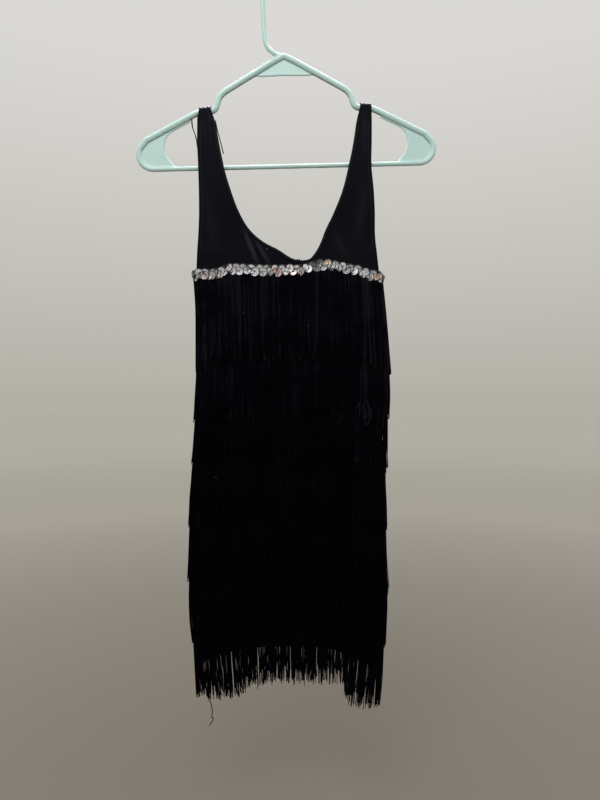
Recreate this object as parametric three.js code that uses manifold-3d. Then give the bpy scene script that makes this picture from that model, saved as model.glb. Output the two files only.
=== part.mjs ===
// A fringed flapper dress hanging on a tubular plastic hanger.
//
// Millimetres, +Z up. The origin is the inner crown of the hanger's hook, which hangs on a rod.
// The front of the dress looks along -Y and the hanger lies in the plane Y = 0.

import * as THREE from 'three';
import { mergeVertices } from 'three/addons/utils/BufferGeometryUtils.js';
import Module from 'manifold-3d';

const wasm = await Module();
wasm.setup();

// ---------------------------------------------------------------- driving sizes

const seamGap = 0.3; // air between two pieces that meet at a seam
const clothWall = 1.6; // thickness of the jersey
const sewnGap = 0.3; // air between a panel and what is sewn on it

const hangerTilt = THREE.MathUtils.degToRad(1.36); // the right arm hangs a little higher
const hangerShift = -5.5; // the hanger's middle line, to the left of the hook's crown
const armRadius = 4.3;
const barRadius = 3.2;
const hookRadius = 3.5;
const hookBend = 33; // radius of the hook's middle line
const hookFoot = -28; // where the shank stands, from the hanger's middle line
const hookEnd = 5; // degrees above level at which the hook's bend ends
const webThickness = 2.4;
const tubeSides = 8;

const strapClearance = 0.45; // air between a strap and the arm that it hangs over
const armholeBottom = -384; // below this height front and back are seamed together
const armholeRun = 100; // the height over which the two straps part to pass the arm
const neckLowX = 22.4; // the lowest point of the neck, to the right of the middle
const neckLowZ = -394;
const hemZ = -929;

const headerHeight = 6; // woven header of a fringe
const headerThickness = 1.4;
const fringeLength = 116;
const fringeStandOff = 0.034; // how far a lock leans out for each millimetre that it falls
const sideStandOff = 0.042; // the same for the locks over the side seams
const lockFill = 0.8; // width of a lock as a share of its pitch
const lockThickness = 1.1;
const locksAcross = 16; // on the front, and again on the back

const trimHalfHeight = 8.2; // sequin trim, without its scallops
const trimScallop = 1.1;
const trimScallopPitch = 10.5;
const trimThickness = 1.6;
const trimToFringe = 1.4; // air between the trim and the first header

const edgingWidth = 4; // turned and stitched edge of the neck
const edgingThickness = 0.9;

// Sections of the dress from the armholes down: side seams, how far the sides curl forward,
// and half the hollow between front and back at the middle.
const bodyRows = [
  { z: -360, left: -121.8, right: 123.6, curlLeft: 5, curlRight: 5, puff: 5.0 },
  { z: -384, left: -123.2, right: 126.3, curlLeft: 6, curlRight: 6, puff: 5.5 },
  { z: -405, left: -124.0, right: 128.5, curlLeft: 6, curlRight: 7, puff: 6.0 },
  { z: -438, left: -124.0, right: 132.0, curlLeft: 8, curlRight: 9, puff: 6.5 },
  { z: -477, left: -120.0, right: 134.0, curlLeft: 9, curlRight: 11, puff: 7.0 },
  { z: -532, left: -118.5, right: 137.0, curlLeft: 11, curlRight: 13, puff: 7.5 },
  { z: -588, left: -119.5, right: 136.0, curlLeft: 13, curlRight: 14, puff: 7.8 },
  { z: -643, left: -121.5, right: 132.0, curlLeft: 16, curlRight: 15, puff: 8.0 },
  { z: -700, left: -125.0, right: 131.5, curlLeft: 19, curlRight: 16, puff: 8.0 },
  { z: -770, left: -126.0, right: 131.5, curlLeft: 22, curlRight: 17, puff: 8.0 },
  { z: -840, left: -125.5, right: 132.5, curlLeft: 25, curlRight: 18, puff: 8.2 },
  { z: -885, left: -121.0, right: 129.0, curlLeft: 27, curlRight: 18, puff: 8.4 },
  { z: -929, left: -117.0, right: 125.0, curlLeft: 28, curlRight: 18, puff: 8.5 },
  { z: -1040, left: -108.0, right: 113.0, curlLeft: 29, curlRight: 18, puff: 8.5 },
];

// Sections of bodice and straps: armhole edges outside, neck edges inside.
const neckRows = [
  { z: -392, outerLeft: -123.5, neckLeft: 10.5, neckRight: 33.0, outerRight: 127.0 },
  { z: -387, outerLeft: -123.4, neckLeft: 1.0, neckRight: 38.0, outerRight: 126.6 },
  { z: -379, outerLeft: -123.0, neckLeft: -11.0, neckRight: 43.5, outerRight: 125.8 },
  { z: -369, outerLeft: -122.4, neckLeft: -30.0, neckRight: 48.5, outerRight: 124.6 },
  { z: -353, outerLeft: -121.4, neckLeft: -49.0, neckRight: 54.5, outerRight: 123.6 },
  { z: -328, outerLeft: -120.4, neckLeft: -64.5, neckRight: 66.5, outerRight: 123.4 },
  { z: -295, outerLeft: -120.6, neckLeft: -77.0, neckRight: 79.2, outerRight: 121.6 },
  { z: -261, outerLeft: -121.8, neckLeft: -87.0, neckRight: 87.4, outerRight: 118.6 },
  { z: -228, outerLeft: -123.2, neckLeft: -94.0, neckRight: 94.2, outerRight: 119.2 },
  { z: -197, outerLeft: -123.2, neckLeft: -99.5, neckRight: 98.8, outerRight: 119.4 },
];
const strapTop = { outerLeft: -121.0, neckLeft: -104.4, neckRight: 103.4, outerRight: 118.8 };
const strapBottom = neckRows[neckRows.length - 1].z; // where the straps turn over the arms
const strapArcSteps = 3;
const backNeckDrop = 6; // the back neck is cut this much lower
const backNeckRun = { from: -250, to: -390 }; // the heights between which it comes to that

// Middle line of the sequin trim round the front, which dips and rises with the bodice.
const trimLine = [
  { x: -125, z: -414.7 },
  { x: -98, z: -413.4 },
  { x: -79, z: -405.6 },
  { x: -30, z: -407.8 },
  { x: 22, z: -407.6 },
  { x: 46, z: -400.4 },
  { x: 60, z: -400.0 },
  { x: 96, z: -407.8 },
  { x: 112, z: -413.5 },
  { x: 133, z: -418.0 },
];
const backTrimDrop = 8; // the trim sits lower on the back, under the lower neck
const trimMiddle = { x: 3, half: 126 }; // the middle of the trim on the back, and half its width

// Where each fringe below the first is sewn on, at the middle of the dress.
const tierRoots = [-500, -560, -640, -716, -788, -866];

// The hem and the fringes hang lower at the sides, more so towards the hem.
const sideDrop = { from: -440, to: -930, left: 16, right: 24 };

// How much longer the strands of the last fringe hang, in two lumps at the sides.
const hemLumps = [
  { x: -118, longer: -8 },
  { x: -112, longer: 1 },
  { x: -100, longer: 6 },
  { x: -85, longer: 9 },
  { x: -72, longer: 10 },
  { x: -60, longer: 5 },
  { x: -50, longer: 1 },
  { x: 86, longer: 0 },
  { x: 89.5, longer: 18 },
  { x: 105, longer: 15 },
  { x: 119, longer: 8 },
  { x: 130, longer: -3 },
];

// The right side of the skirt is folded forward along one long soft pleat.
const sidePleat = { x: 58, width: 42, depth: 12, from: -540, to: -930 };

// One stray thread of the last fringe hangs below the rest.
const strayThread = { x: -103, length: 160, width: 1.2 };

// Thin ribbon loop sewn into the left armhole. It stands up behind the hanger's arm.
const loopSize = { across: 1.4, thickness: 1.0, footX: -124.6, footZ: -234, topX: -133.4 };
const loopClearance = 1.2; // the arm slopes here, so the ribbon stands further off it
const loopSide = { rise: 10, sag: 0.4, lean: 0.9 }; // it bows out a little below the arm
const loopTop = { above: 8.5, apart: 2.6 }; // over the arm's middle line, and between its two legs

// ---------------------------------------------------------------- small helpers

const clamp01 = (t) => Math.min(1, Math.max(0, t));
const smooth = (t) => {
  const c = clamp01(t);
  return c * c * (3 - 2 * c);
};
const mix = (a, b, t) => a + (b - a) * t;

// Reads a table between its rows. The rows run in one direction along the named key.
function readTable(rows, key, value) {
  const rising = rows[rows.length - 1][key] > rows[0][key];
  let i = 0;
  while (i < rows.length - 2 && (rising ? value > rows[i + 1][key] : value < rows[i + 1][key])) {
    i += 1;
  }
  const a = rows[i];
  const b = rows[i + 1];
  const t = clamp01((value - a[key]) / (b[key] - a[key]));
  const out = {};
  for (const name of Object.keys(a)) out[name] = mix(a[name], b[name], t);
  return out;
}

function closedGeometry(points, faces) {
  const positions = new Float32Array(points.length * 3);
  points.forEach((p, i) => positions.set([p.x, p.y, p.z], i * 3));
  let volume = 0;
  for (const [a, b, c] of faces) {
    volume += points[a].dot(new THREE.Vector3().crossVectors(points[b], points[c]));
  }
  const index = volume > 0 ? faces.flat() : faces.flatMap(([a, b, c]) => [a, c, b]);
  const geometry = new THREE.BufferGeometry();
  geometry.setAttribute('position', new THREE.BufferAttribute(positions, 3));
  geometry.setIndex(index);
  return geometry;
}

function toManifold(geometry) {
  const bare = geometry.clone();
  bare.deleteAttribute('normal');
  bare.deleteAttribute('uv');
  const merged = mergeVertices(bare, 1e-4);
  const mesh = new wasm.Mesh({
    numProp: 3,
    vertProperties: new Float32Array(merged.attributes.position.array),
    triVerts: new Uint32Array(merged.index.array),
  });
  return new wasm.Manifold(mesh);
}

function fromManifold(solid) {
  const mesh = solid.getMesh();
  const geometry = new THREE.BufferGeometry();
  geometry.setAttribute('position', new THREE.BufferAttribute(mesh.vertProperties, 3));
  geometry.setIndex(new THREE.BufferAttribute(mesh.triVerts, 1));
  return geometry;
}

function joined(geometries) {
  return fromManifold(geometries.map(toManifold).reduce((whole, piece) => whole.add(piece)));
}

// A closed tube or bar through rings of points that all have the same count.
function loft(rings, looped = false) {
  const sides = rings[0].length;
  const points = rings.flat();
  const faces = [];
  const last = looped ? rings.length : rings.length - 1;
  for (let r = 0; r < last; r += 1) {
    const here = r * sides;
    const next = ((r + 1) % rings.length) * sides;
    for (let s = 0; s < sides; s += 1) {
      const t = (s + 1) % sides;
      faces.push([here + s, here + t, next + t], [here + s, next + t, next + s]);
    }
  }
  if (!looped) {
    const end = (rings.length - 1) * sides;
    for (let s = 1; s < sides - 1; s += 1) {
      faces.push([0, s + 1, s], [end, end + s, end + s + 1]);
    }
  }
  return closedGeometry(points, faces);
}

// ---------------------------------------------------------------- hanger

// The hanger's own drawing is symmetric about x = 0, with z measured from the hook's crown.
const shoulder = [
  { x: 0, z: -106.6 },
  { x: 14, z: -113.5 },
  { x: 86.5, z: -156 },
  { x: 92.6, z: -163.5 },
  { x: 96.2, z: -176.5 },
  { x: 100.5, z: -181.2 },
  { x: 122, z: -183 },
  { x: 130, z: -186.6 },
  { x: 196, z: -220.6 },
];
const endCentre = { x: 186, z: -240.6, radius: 20.4 };
const barZ = -261;

function onHanger(x, y, z) {
  const c = Math.cos(hangerTilt);
  const s = Math.sin(hangerTilt);
  const shifted = x + hangerShift;
  return new THREE.Vector3(shifted * c - z * s, y, shifted * s + z * c);
}

// Height of the arm's middle line under a strap, at a place across the dress.
function armHeight(x) {
  const side = Math.sign(x);
  const drawn = shoulder.map((p) => onHanger(side * p.x, 0, p.z));
  drawn.sort((a, b) => a.x - b.x);
  return readTable(drawn.map((p) => ({ x: p.x, z: p.z })), 'x', x).z;
}

// Round section across a route that lies in the hanger's plane.
function hangerRing(before, here, after, radius) {
  const along = new THREE.Vector2(after.x - before.x, after.z - before.z).normalize();
  const across = { x: -along.y, z: along.x };
  const ring = [];
  for (let s = 0; s < tubeSides; s += 1) {
    const angle = ((s + 0.5) / tubeSides) * 2 * Math.PI;
    const out = radius * Math.cos(angle) / Math.cos(Math.PI / tubeSides);
    const deep = radius * Math.sin(angle) / Math.cos(Math.PI / tubeSides);
    ring.push(onHanger(here.x + across.x * out, deep, here.z + across.z * out));
  }
  return ring;
}

function hangerFrame() {
  const half = shoulder.map((p) => ({ ...p, r: armRadius }));
  const endSteps = 7;
  for (let i = 1; i <= endSteps; i += 1) {
    const angle = mix(60, -90, i / endSteps) * (Math.PI / 180);
    half.push({
      x: endCentre.x + endCentre.radius * Math.cos(angle),
      z: endCentre.z + endCentre.radius * Math.sin(angle),
      r: mix(armRadius, barRadius, i / endSteps),
    });
  }
  half.push({ x: 120, z: barZ, r: barRadius }, { x: 0, z: barZ, r: barRadius });
  const mirrored = half.slice(1, -1).reverse().map((p) => ({ ...p, x: -p.x }));
  const route = [...half, ...mirrored];
  const rings = route.map((p, i) => {
    const before = route[(i + route.length - 1) % route.length];
    const after = route[(i + 1) % route.length];
    return hangerRing(before, p, after, p.r);
  });
  return loft(rings, true);
}

function hangerHook() {
  const centre = { x: hookFoot + hookBend, z: hookRadius - hookBend };
  const route = [
    { x: -3, z: -109 },
    { x: -14, z: -102.5 },
    { x: -22.5, z: -95 },
    { x: -26, z: -84 },
    { x: -27.4, z: -60 },
  ];
  const steps = 14;
  for (let i = 0; i <= steps; i += 1) {
    const angle = mix(180, hookEnd, i / steps) * (Math.PI / 180);
    route.push({
      x: centre.x + hookBend * Math.cos(angle),
      z: centre.z + hookBend * Math.sin(angle),
    });
  }
  const rings = route.map((p, i) => {
    const before = route[Math.max(0, i - 1)];
    const after = route[Math.min(route.length - 1, i + 1)];
    const radius = i === route.length - 1 ? hookRadius * 0.7 : hookRadius;
    return hangerRing(before, p, after, radius);
  });
  return loft(rings);
}

// A thin plate in the hanger's plane, from its outline.
function hangerWeb(outline) {
  const front = outline.map((p) => onHanger(p.x, -webThickness / 2, p.z));
  const back = outline.map((p) => onHanger(p.x, webThickness / 2, p.z));
  const shape = new THREE.Shape(outline.map((p) => new THREE.Vector2(p.x, p.z)));
  const count = outline.length;
  const faces = [];
  for (const [a, b, c] of THREE.ShapeUtils.triangulateShape(shape.getPoints(), [])) {
    faces.push([a, b, c], [a + count, c + count, b + count]);
  }
  for (let i = 0; i < count; i += 1) {
    const j = (i + 1) % count;
    faces.push([j, i, i + count], [j, i + count, j + count]);
  }
  return closedGeometry([...front, ...back], faces);
}

function paddleOutline(side) {
  const outline = [
    { x: 164, z: -203.5 },
    { x: 167, z: -214 },
    { x: 171, z: -224 },
    { x: 171.5, z: -234 },
    { x: 168, z: -245 },
    { x: 157, z: -258 },
    { x: 155, z: barZ },
    { x: 186, z: barZ },
    { x: 200, z: -255 },
    { x: 206, z: -241 },
    { x: 203, z: -229 },
    { x: 196, z: -220.6 },
  ].map((p) => ({ x: side * p.x, z: p.z }));
  return side > 0 ? outline : outline.reverse();
}

function makeHanger() {
  const gusset = [
    { x: 0, z: -108 },
    { x: -42, z: -130 },
    { x: -34, z: -133.5 },
    { x: 34, z: -133.5 },
    { x: 42, z: -130 },
  ];
  return joined([
    hangerFrame(),
    hangerHook(),
    hangerWeb(gusset),
    hangerWeb(paddleOutline(1)),
    hangerWeb(paddleOutline(-1)),
  ]);
}

// ---------------------------------------------------------------- cloth surfaces

const FRONT = -1;
const BACK = 1;
const strapInner = armRadius / Math.cos(Math.PI / tubeSides) + strapClearance;

// Half the air between front and back along their edges: the seam, or the open armhole.
function edgeGap(z) {
  return seamGap / 2 + (strapInner - seamGap / 2) * smooth((z - armholeBottom) / armholeRun);
}

// Outer edges, curl and puff of the dress at a height, in the bodice from its own rows.
function sectionAt(z) {
  const body = readTable(bodyRows, 'z', z);
  if (z <= armholeBottom) return body;
  const bodice = readTable(neckRows, 'z', z);
  const fade = clamp01((z - armholeBottom) / (strapBottom - armholeBottom));
  return {
    left: bodice.outerLeft,
    right: bodice.outerRight,
    curlLeft: body.curlLeft * (1 - fade),
    curlRight: body.curlRight * (1 - fade),
    puff: body.puff * (1 - fade),
  };
}

// A point of a panel: x across, z before the sides drop, and how far outside the inner face.
function clothPoint(side, x, z, out) {
  const row = sectionAt(z);
  const half = (row.right - row.left) / 2;
  const u = (x - (row.left + row.right) / 2) / half;
  const curl = (u < 0 ? row.curlLeft : row.curlRight) * Math.abs(u) ** 3;
  const pleatShare = smooth((sidePleat.from - z) / (sidePleat.from - sidePleat.to));
  const pleat = sidePleat.depth * pleatShare * smooth((x - sidePleat.x) / sidePleat.width);
  const hollow = edgeGap(z) + row.puff * (1 - Math.min(1, u ** 4));
  const dropShare = clamp01((sideDrop.from - z) / (sideDrop.from - sideDrop.to));
  const most = u < 0 ? sideDrop.left : sideDrop.right;
  const drop = most * dropShare * Math.min(1, Math.abs(u) ** 3);
  return new THREE.Vector3(x, -curl - pleat + side * (hollow + out), z - drop);
}

// The panels' columns: places across the left part, up to the neck's lowest point, and the right.
const leftColumns = [0, 0.07, 0.16, 0.27, 0.39, 0.52, 0.68, 0.84, 1];
const rightColumns = [0, 0.16, 0.3, 0.42, 0.53, 0.64, 0.75, 0.87, 1];
const leftShare = 0.58; // the left part's share of the width

// A point on one of the panel's rows, between its columns as the panel's flat faces have it.
function rowPoint(side, z, onLeft, t, out) {
  const row = sectionAt(z);
  const from = onLeft ? row.left : neckLowX;
  const to = onLeft ? neckLowX : row.right;
  const columns = onLeft ? leftColumns : rightColumns;
  let i = 0;
  while (i < columns.length - 2 && t > columns[i + 1]) i += 1;
  const a = clothPoint(side, mix(from, to, columns[i]), z, out);
  const b = clothPoint(side, mix(from, to, columns[i + 1]), z, out);
  return a.lerp(b, (t - columns[i]) / (columns[i + 1] - columns[i]));
}

// The same surface as the panel's flat faces have it, so that trims lie evenly on it.
function facetPoint(side, x, z, out) {
  const row = sectionAt(z);
  const onLeft = x < neckLowX;
  const t = clamp01(onLeft
    ? (x - row.left) / (neckLowX - row.left)
    : (x - neckLowX) / (row.right - neckLowX));
  const below = bodyRows.findIndex((line) => line.z < z);
  const upper = bodyRows[below - 1].z;
  const lower = bodyRows[below].z;
  const above = rowPoint(side, upper, onLeft, t, out);
  return above.lerp(rowPoint(side, lower, onLeft, t, out), (upper - z) / (upper - lower));
}

function panelRows(side) {
  const drop = side === BACK ? backNeckDrop : 0;
  const rows = [];
  for (const row of bodyRows) {
    if (row.z < hemZ || row.z > neckLowZ) continue;
    rows.push({ z: row.z, neck: [neckLowX, neckLowX] });
  }
  rows.reverse();
  rows.push({ z: neckLowZ - drop, neck: [neckLowX, neckLowX] });
  for (const row of neckRows) {
    const lowered = drop * clamp01((row.z - backNeckRun.from) / (backNeckRun.to - backNeckRun.from));
    rows.push({ z: row.z - lowered, neck: [row.neckLeft, row.neckRight] });
  }
  return rows;
}

// One panel with its two straps: a wall of even thickness, closed along hem, sides, neck and top.
function makePanel(side) {
  const rows = panelRows(side);
  const halves = [leftColumns, rightColumns];
  const lowest = rows.findIndex((row) => row.neck[0] !== row.neck[1]) - 1;
  const total = rows.length + strapArcSteps + 1;
  const points = [];
  const known = new Map();

  function place(row, half, t, layer) {
    const out = layer * clothWall;
    if (row < rows.length) {
      const { z, neck } = rows[row];
      const section = sectionAt(z);
      const x = half === 0 ? mix(section.left, neck[0], t) : mix(neck[1], section.right, t);
      return clothPoint(side, x, z, out);
    }
    const angle = ((row - rows.length) / strapArcSteps) * (Math.PI / 2);
    const { outerLeft, neckLeft, neckRight, outerRight } = strapTop;
    const x = half === 0 ? mix(outerLeft, neckLeft, t) : mix(neckRight, outerRight, t);
    const radius = strapInner + out;
    const y = side * (seamGap / 2 + radius * Math.cos(angle));
    return new THREE.Vector3(x, y, armHeight(x) + radius * Math.sin(angle));
  }

  function vertex(row, half, column, layer) {
    const shared = half === 1 && column === 0 && row <= lowest;
    const key = shared
      ? `${row}/0/${leftColumns.length - 1}/${layer}`
      : `${row}/${half}/${column}/${layer}`;
    if (!known.has(key)) {
      known.set(key, points.length);
      points.push(place(row, half, halves[half][column], layer));
    }
    return known.get(key);
  }

  const faces = [];
  function quad(a, b, c, d) {
    faces.push([a, b, c], [a, c, d]);
  }
  for (let row = 0; row < total - 1; row += 1) {
    for (const half of [0, 1]) {
      const last = halves[half].length - 1;
      for (let column = 0; column < last; column += 1) {
        const at = (r, c, layer) => vertex(row + r, half, column + c, layer);
        quad(at(0, 0, 1), at(0, 1, 1), at(1, 1, 1), at(1, 0, 1));
        quad(at(0, 0, 0), at(1, 0, 0), at(1, 1, 0), at(0, 1, 0));
      }
      const edge = (r, column, layer) => vertex(row + r, half, column, layer);
      if (half === 0 || row >= lowest) {
        quad(edge(0, 0, 0), edge(0, 0, 1), edge(1, 0, 1), edge(1, 0, 0));
      }
      if (half === 1 || row >= lowest) {
        quad(edge(0, last, 1), edge(0, last, 0), edge(1, last, 0), edge(1, last, 1));
      }
    }
  }
  for (const half of [0, 1]) {
    for (let column = 0; column < halves[half].length - 1; column += 1) {
      const hem = (c, layer) => vertex(0, half, column + c, layer);
      const top = (c, layer) => vertex(total - 1, half, column + c, layer);
      quad(hem(0, 0), hem(1, 0), hem(1, 1), hem(0, 1));
      quad(top(0, 1), top(1, 1), top(1, 0), top(0, 0));
    }
  }
  return closedGeometry(points, faces);
}

// ---------------------------------------------------------------- what runs round the dress

// A point round the dress: lap 0..1 is the front from left to right, 1..2 the right side seam,
// 2..3 the back from right to left, 3..4 the left side seam.
function roundPoint(lap, zAt, out) {
  const quarter = Math.floor(lap) % 4;
  const t = lap - Math.floor(lap);
  if (quarter === 0 || quarter === 2) {
    const side = quarter === 0 ? FRONT : BACK;
    const along = quarter === 0 ? t : 1 - t;
    const rough = sectionAt(zAt(neckLowX, side));
    const z = zAt(acrossAt(rough, along), side);
    return facetPoint(side, acrossAt(sectionAt(z), along), z, clothWall + out);
  }
  const atRight = quarter === 1;
  const rough = sectionAt(zAt(neckLowX, FRONT));
  const z = zAt(atRight ? rough.right : rough.left, FRONT);
  const row = sectionAt(z);
  const seam = facetPoint(FRONT, atRight ? row.right : row.left, z, 0);
  seam.y += edgeGap(z);
  const radius = edgeGap(z) + clothWall + out;
  const angle = (t - 0.5) * Math.PI;
  const sideways = atRight ? 1 : -1;
  seam.x += sideways * radius * Math.cos(angle);
  seam.y += sideways * radius * Math.sin(angle);
  return seam;
}

// A place across a section, from 0 at the left seam to 1 at the right one.
function acrossAt(row, along) {
  return along < leftShare
    ? mix(row.left, neckLowX, along / leftShare)
    : mix(neckLowX, row.right, (along - leftShare) / (1 - leftShare));
}

// The laps at which a ring has its points: four on each side seam, and those given across.
function ringLaps(across) {
  const turns = [0.12, 0.37, 0.63, 0.88];
  const inside = across.map((t) => Math.min(0.9999, t));
  return [
    ...inside,
    ...turns.map((t) => 1 + t),
    ...inside.map((t) => 2 + t),
    ...turns.map((t) => 3 + t),
  ];
}

// The panels' own columns as places from seam to seam, the same from either end.
const panelColumns = [
  ...leftColumns.map((t) => t * leftShare),
  ...rightColumns.slice(1).map((t) => leftShare + t * (1 - leftShare)),
];

// A closed band round the dress between two heights, standing off the cloth.
function makeBand(laps, topAt, bottomAt, innerOut, outerOut) {
  const rings = laps.map((lap) => [
    roundPoint(lap, topAt(lap), innerOut),
    roundPoint(lap, topAt(lap), outerOut),
    roundPoint(lap, bottomAt(lap), outerOut),
    roundPoint(lap, bottomAt(lap), innerOut),
  ]);
  return loft(rings, true);
}

// Middle line of the sequin trim at a place across the front or back.
function trimHeight(x, side) {
  const z = readTable(trimLine, 'x', x).z;
  if (side === FRONT) return z;
  const u = clamp01(Math.abs((x - trimMiddle.x) / trimMiddle.half));
  return z - backTrimDrop * (1 - u ** 4);
}

function makeTrim() {
  const across = Math.round((4 * trimMiddle.half) / trimScallopPitch);
  const steps = Array.from({ length: across + 1 }, (_, i) => i / across);
  const laps = ringLaps(steps);
  const scallop = (lap) => trimScallop * (Math.round(lap * across) % 2 ? 1 : 0);
  const top = (lap) => (x, side) => trimHeight(x, side) + trimHalfHeight + scallop(lap);
  const bottom = (lap) => (x, side) => trimHeight(x, side) - trimHalfHeight - scallop(lap);
  return makeBand(laps, top, bottom, sewnGap, sewnGap + trimThickness);
}

// Height of a fringe's header, top edge, at a place across the dress.
function tierTop(tier) {
  if (tier === 0) {
    return (x, side) => trimHeight(x, side) - trimHalfHeight - trimScallop - trimToFringe;
  }
  return () => tierRoots[tier - 1] + headerHeight;
}

// How far the cloth stands out past a straight line between the two edges of a lock.
function roundBulge(lap, half, zAt) {
  const quarter = Math.floor(lap) % 4;
  if (quarter === 1 || quarter === 3) return 0;
  const side = quarter === 0 ? FRONT : BACK;
  const chord = roundPoint(lap - half, zAt, 0).lerp(roundPoint(lap + half, zAt, 0), 0.5);
  return Math.max(0, side * (roundPoint(lap, zAt, 0).y - chord.y));
}

// One flat four-sided lock, from inside its header to its tip.
function makeLock(topAt, lap, halfWidth, length, lean) {
  const falls = [
    { fall: headerHeight * 0.5, width: 0.92, thick: 0.85 },
    { fall: mix(headerHeight, length, 0.5), width: 1, thick: 1 },
    { fall: length, width: 0.72, thick: 0.8 },
  ];
  const rings = falls.map(({ fall, width, thick }) => {
    const zAt = (x, side) => topAt(x, side) - fall;
    const inner = sewnGap + 0.15 + lean * fall;
    const outer = inner + lockThickness * thick;
    const half = halfWidth * width;
    const bulge = roundBulge(lap, half, zAt);
    return [
      roundPoint(lap - half, zAt, inner + bulge),
      roundPoint(lap + half, zAt, inner + bulge),
      roundPoint(lap + half, zAt, outer + bulge),
      roundPoint(lap - half, zAt, outer + bulge),
    ];
  });
  return loft(rings);
}

// Uneven but repeatable differences in the length of the locks.
const unevenness = (lock, tier) => 3.5 * Math.sin(lock * 2.4 + tier * 1.7) + 2 * Math.sin(lock * 5.1);

function makeTier(tier) {
  const topAt = tierTop(tier);
  const bottomAt = (x, side) => topAt(x, side) - headerHeight;
  const backColumns = panelColumns.map((t) => 1 - t).reverse();
  const headerLaps = [
    ...ringLaps(panelColumns).filter((lap) => lap < 2),
    ...ringLaps(backColumns).filter((lap) => lap >= 2),
  ];
  const header = makeBand(
    headerLaps,
    () => topAt,
    () => bottomAt,
    sewnGap,
    sewnGap + headerThickness,
  );
  const pieces = [header];
  const pitch = 1 / locksAcross;
  for (const lapStart of [0, 2]) {
    for (let lock = 0; lock < locksAcross; lock += 1) {
      const lap = lapStart + (lock + 0.5) * pitch;
      const { x } = roundPoint(lap, topAt, 0);
      const longer = tier === tierRoots.length ? readTable(hemLumps, 'x', x).longer : 0;
      const length = fringeLength + longer + unevenness(lock + lapStart * 7, tier);
      pieces.push(makeLock(topAt, lap, (pitch * lockFill) / 2, length, fringeStandOff));
    }
  }
  for (const lap of [1.5, 3.5]) {
    pieces.push(makeLock(topAt, lap, 0.11, fringeLength + unevenness(lap, tier), sideStandOff));
  }
  if (tier === tierRoots.length) {
    const row = sectionAt(tierRoots[tier - 1]);
    const share = (strayThread.x - row.left) / (row.right - row.left);
    const lap = Math.round(share * locksAcross) / locksAcross;
    const half = strayThread.width / 2 / (row.right - row.left);
    pieces.push(makeLock(topAt, lap, half, strayThread.length, fringeStandOff));
  }
  return joined(pieces);
}

// ---------------------------------------------------------------- neck edging and ribbon loop

// The turned edge of the neck: a narrow strip on the panel's face along the neck's cut edge.
function makeEdging(side) {
  const rows = panelRows(side).filter((row) => row.neck[0] !== row.neck[1]);
  const lowest = neckLowZ - (side === BACK ? backNeckDrop : 0);
  const path = [
    ...rows.slice().reverse().map((row) => ({ x: row.neck[0], z: row.z })),
    { x: neckLowX, z: lowest },
    ...rows.map((row) => ({ x: row.neck[1], z: row.z })),
  ];
  const rings = path.map((p, i) => {
    const before = path[Math.max(0, i - 1)];
    const after = path[Math.min(path.length - 1, i + 1)];
    const along = new THREE.Vector2(after.x - before.x, after.z - before.z).normalize();
    const away = { x: along.y, z: -along.x };
    const corner = (distance, out) => {
      const x = p.x + away.x * distance;
      const aboveTrim = trimHeight(x, side) + trimHalfHeight + trimScallop + 2 * seamGap;
      const z = Math.max(p.z + away.z * distance, aboveTrim);
      return clothPoint(side, x, z, clothWall + out);
    };
    return [
      corner(0.2, sewnGap),
      corner(0.2, sewnGap + edgingThickness),
      corner(edgingWidth, sewnGap + edgingThickness),
      corner(edgingWidth, sewnGap),
    ];
  });
  return loft(rings);
}

function makeLoop() {
  const { across, thickness, footX, footZ, topX } = loopSize;
  const reach = strapInner + thickness / 2 + loopClearance;
  const armZ = armHeight(topX);
  const leg = [
    { x: footX, y: reach, z: footZ },
    { x: mix(footX, topX, loopSide.lean), y: reach + loopSide.sag, z: armZ - loopSide.rise },
    { x: topX, y: reach, z: armZ - 1 },
    { x: topX, y: reach + 0.2, z: armZ + loopTop.above * 0.7 },
  ];
  const top = { x: topX, y: reach + loopTop.apart / 2, z: armZ + loopTop.above };
  const route = [
    ...leg,
    top,
    ...leg.map((p) => ({ ...p, y: p.y + loopTop.apart })).reverse(),
  ];
  const rings = route.map((p, i) => {
    const before = route[Math.max(0, i - 1)];
    const after = route[Math.min(route.length - 1, i + 1)];
    const along = new THREE.Vector3(after.x - before.x, after.y - before.y, after.z - before.z);
    const wide = new THREE.Vector3(1, 0, 0);
    const out = new THREE.Vector3().crossVectors(along, wide).normalize();
    const centre = new THREE.Vector3(p.x, p.y, p.z);
    return [[-1, -1], [1, -1], [1, 1], [-1, 1]].map(([a, b]) =>
      centre
        .clone()
        .addScaledVector(wide, (a * across) / 2)
        .addScaledVector(out, (b * thickness) / 2));
  });
  return loft(rings);
}

// ---------------------------------------------------------------- the whole object

const jersey = new THREE.MeshStandardMaterial({ color: 0x15161a, roughness: 0.55 });
const fringe = new THREE.MeshStandardMaterial({ color: 0x08080c, roughness: 0.6 });
const sequins = new THREE.MeshStandardMaterial({ color: 0xb4b8bd, roughness: 0.25, metalness: 0.6 });
const ribbon = new THREE.MeshStandardMaterial({ color: 0x101014, roughness: 0.5 });
const plastic = new THREE.MeshStandardMaterial({ color: 0xbddfd6, roughness: 0.4 });

const model = new THREE.Group();

function addPiece(name, geometry, material) {
  const mesh = new THREE.Mesh(geometry, material);
  mesh.name = name;
  model.add(mesh);
}

addPiece('hanger', makeHanger(), plastic);
addPiece('dress_front', makePanel(FRONT), jersey);
addPiece('dress_back', makePanel(BACK), jersey);
addPiece('neck_edging_front', makeEdging(FRONT), jersey);
addPiece('neck_edging_back', makeEdging(BACK), jersey);
addPiece('sequin_trim', makeTrim(), sequins);
for (let tier = 0; tier <= tierRoots.length; tier += 1) {
  addPiece(`fringe_tier_${tier + 1}`, makeTier(tier), fringe);
}
addPiece('hanger_loop', makeLoop(), ribbon);

export default model;
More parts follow.
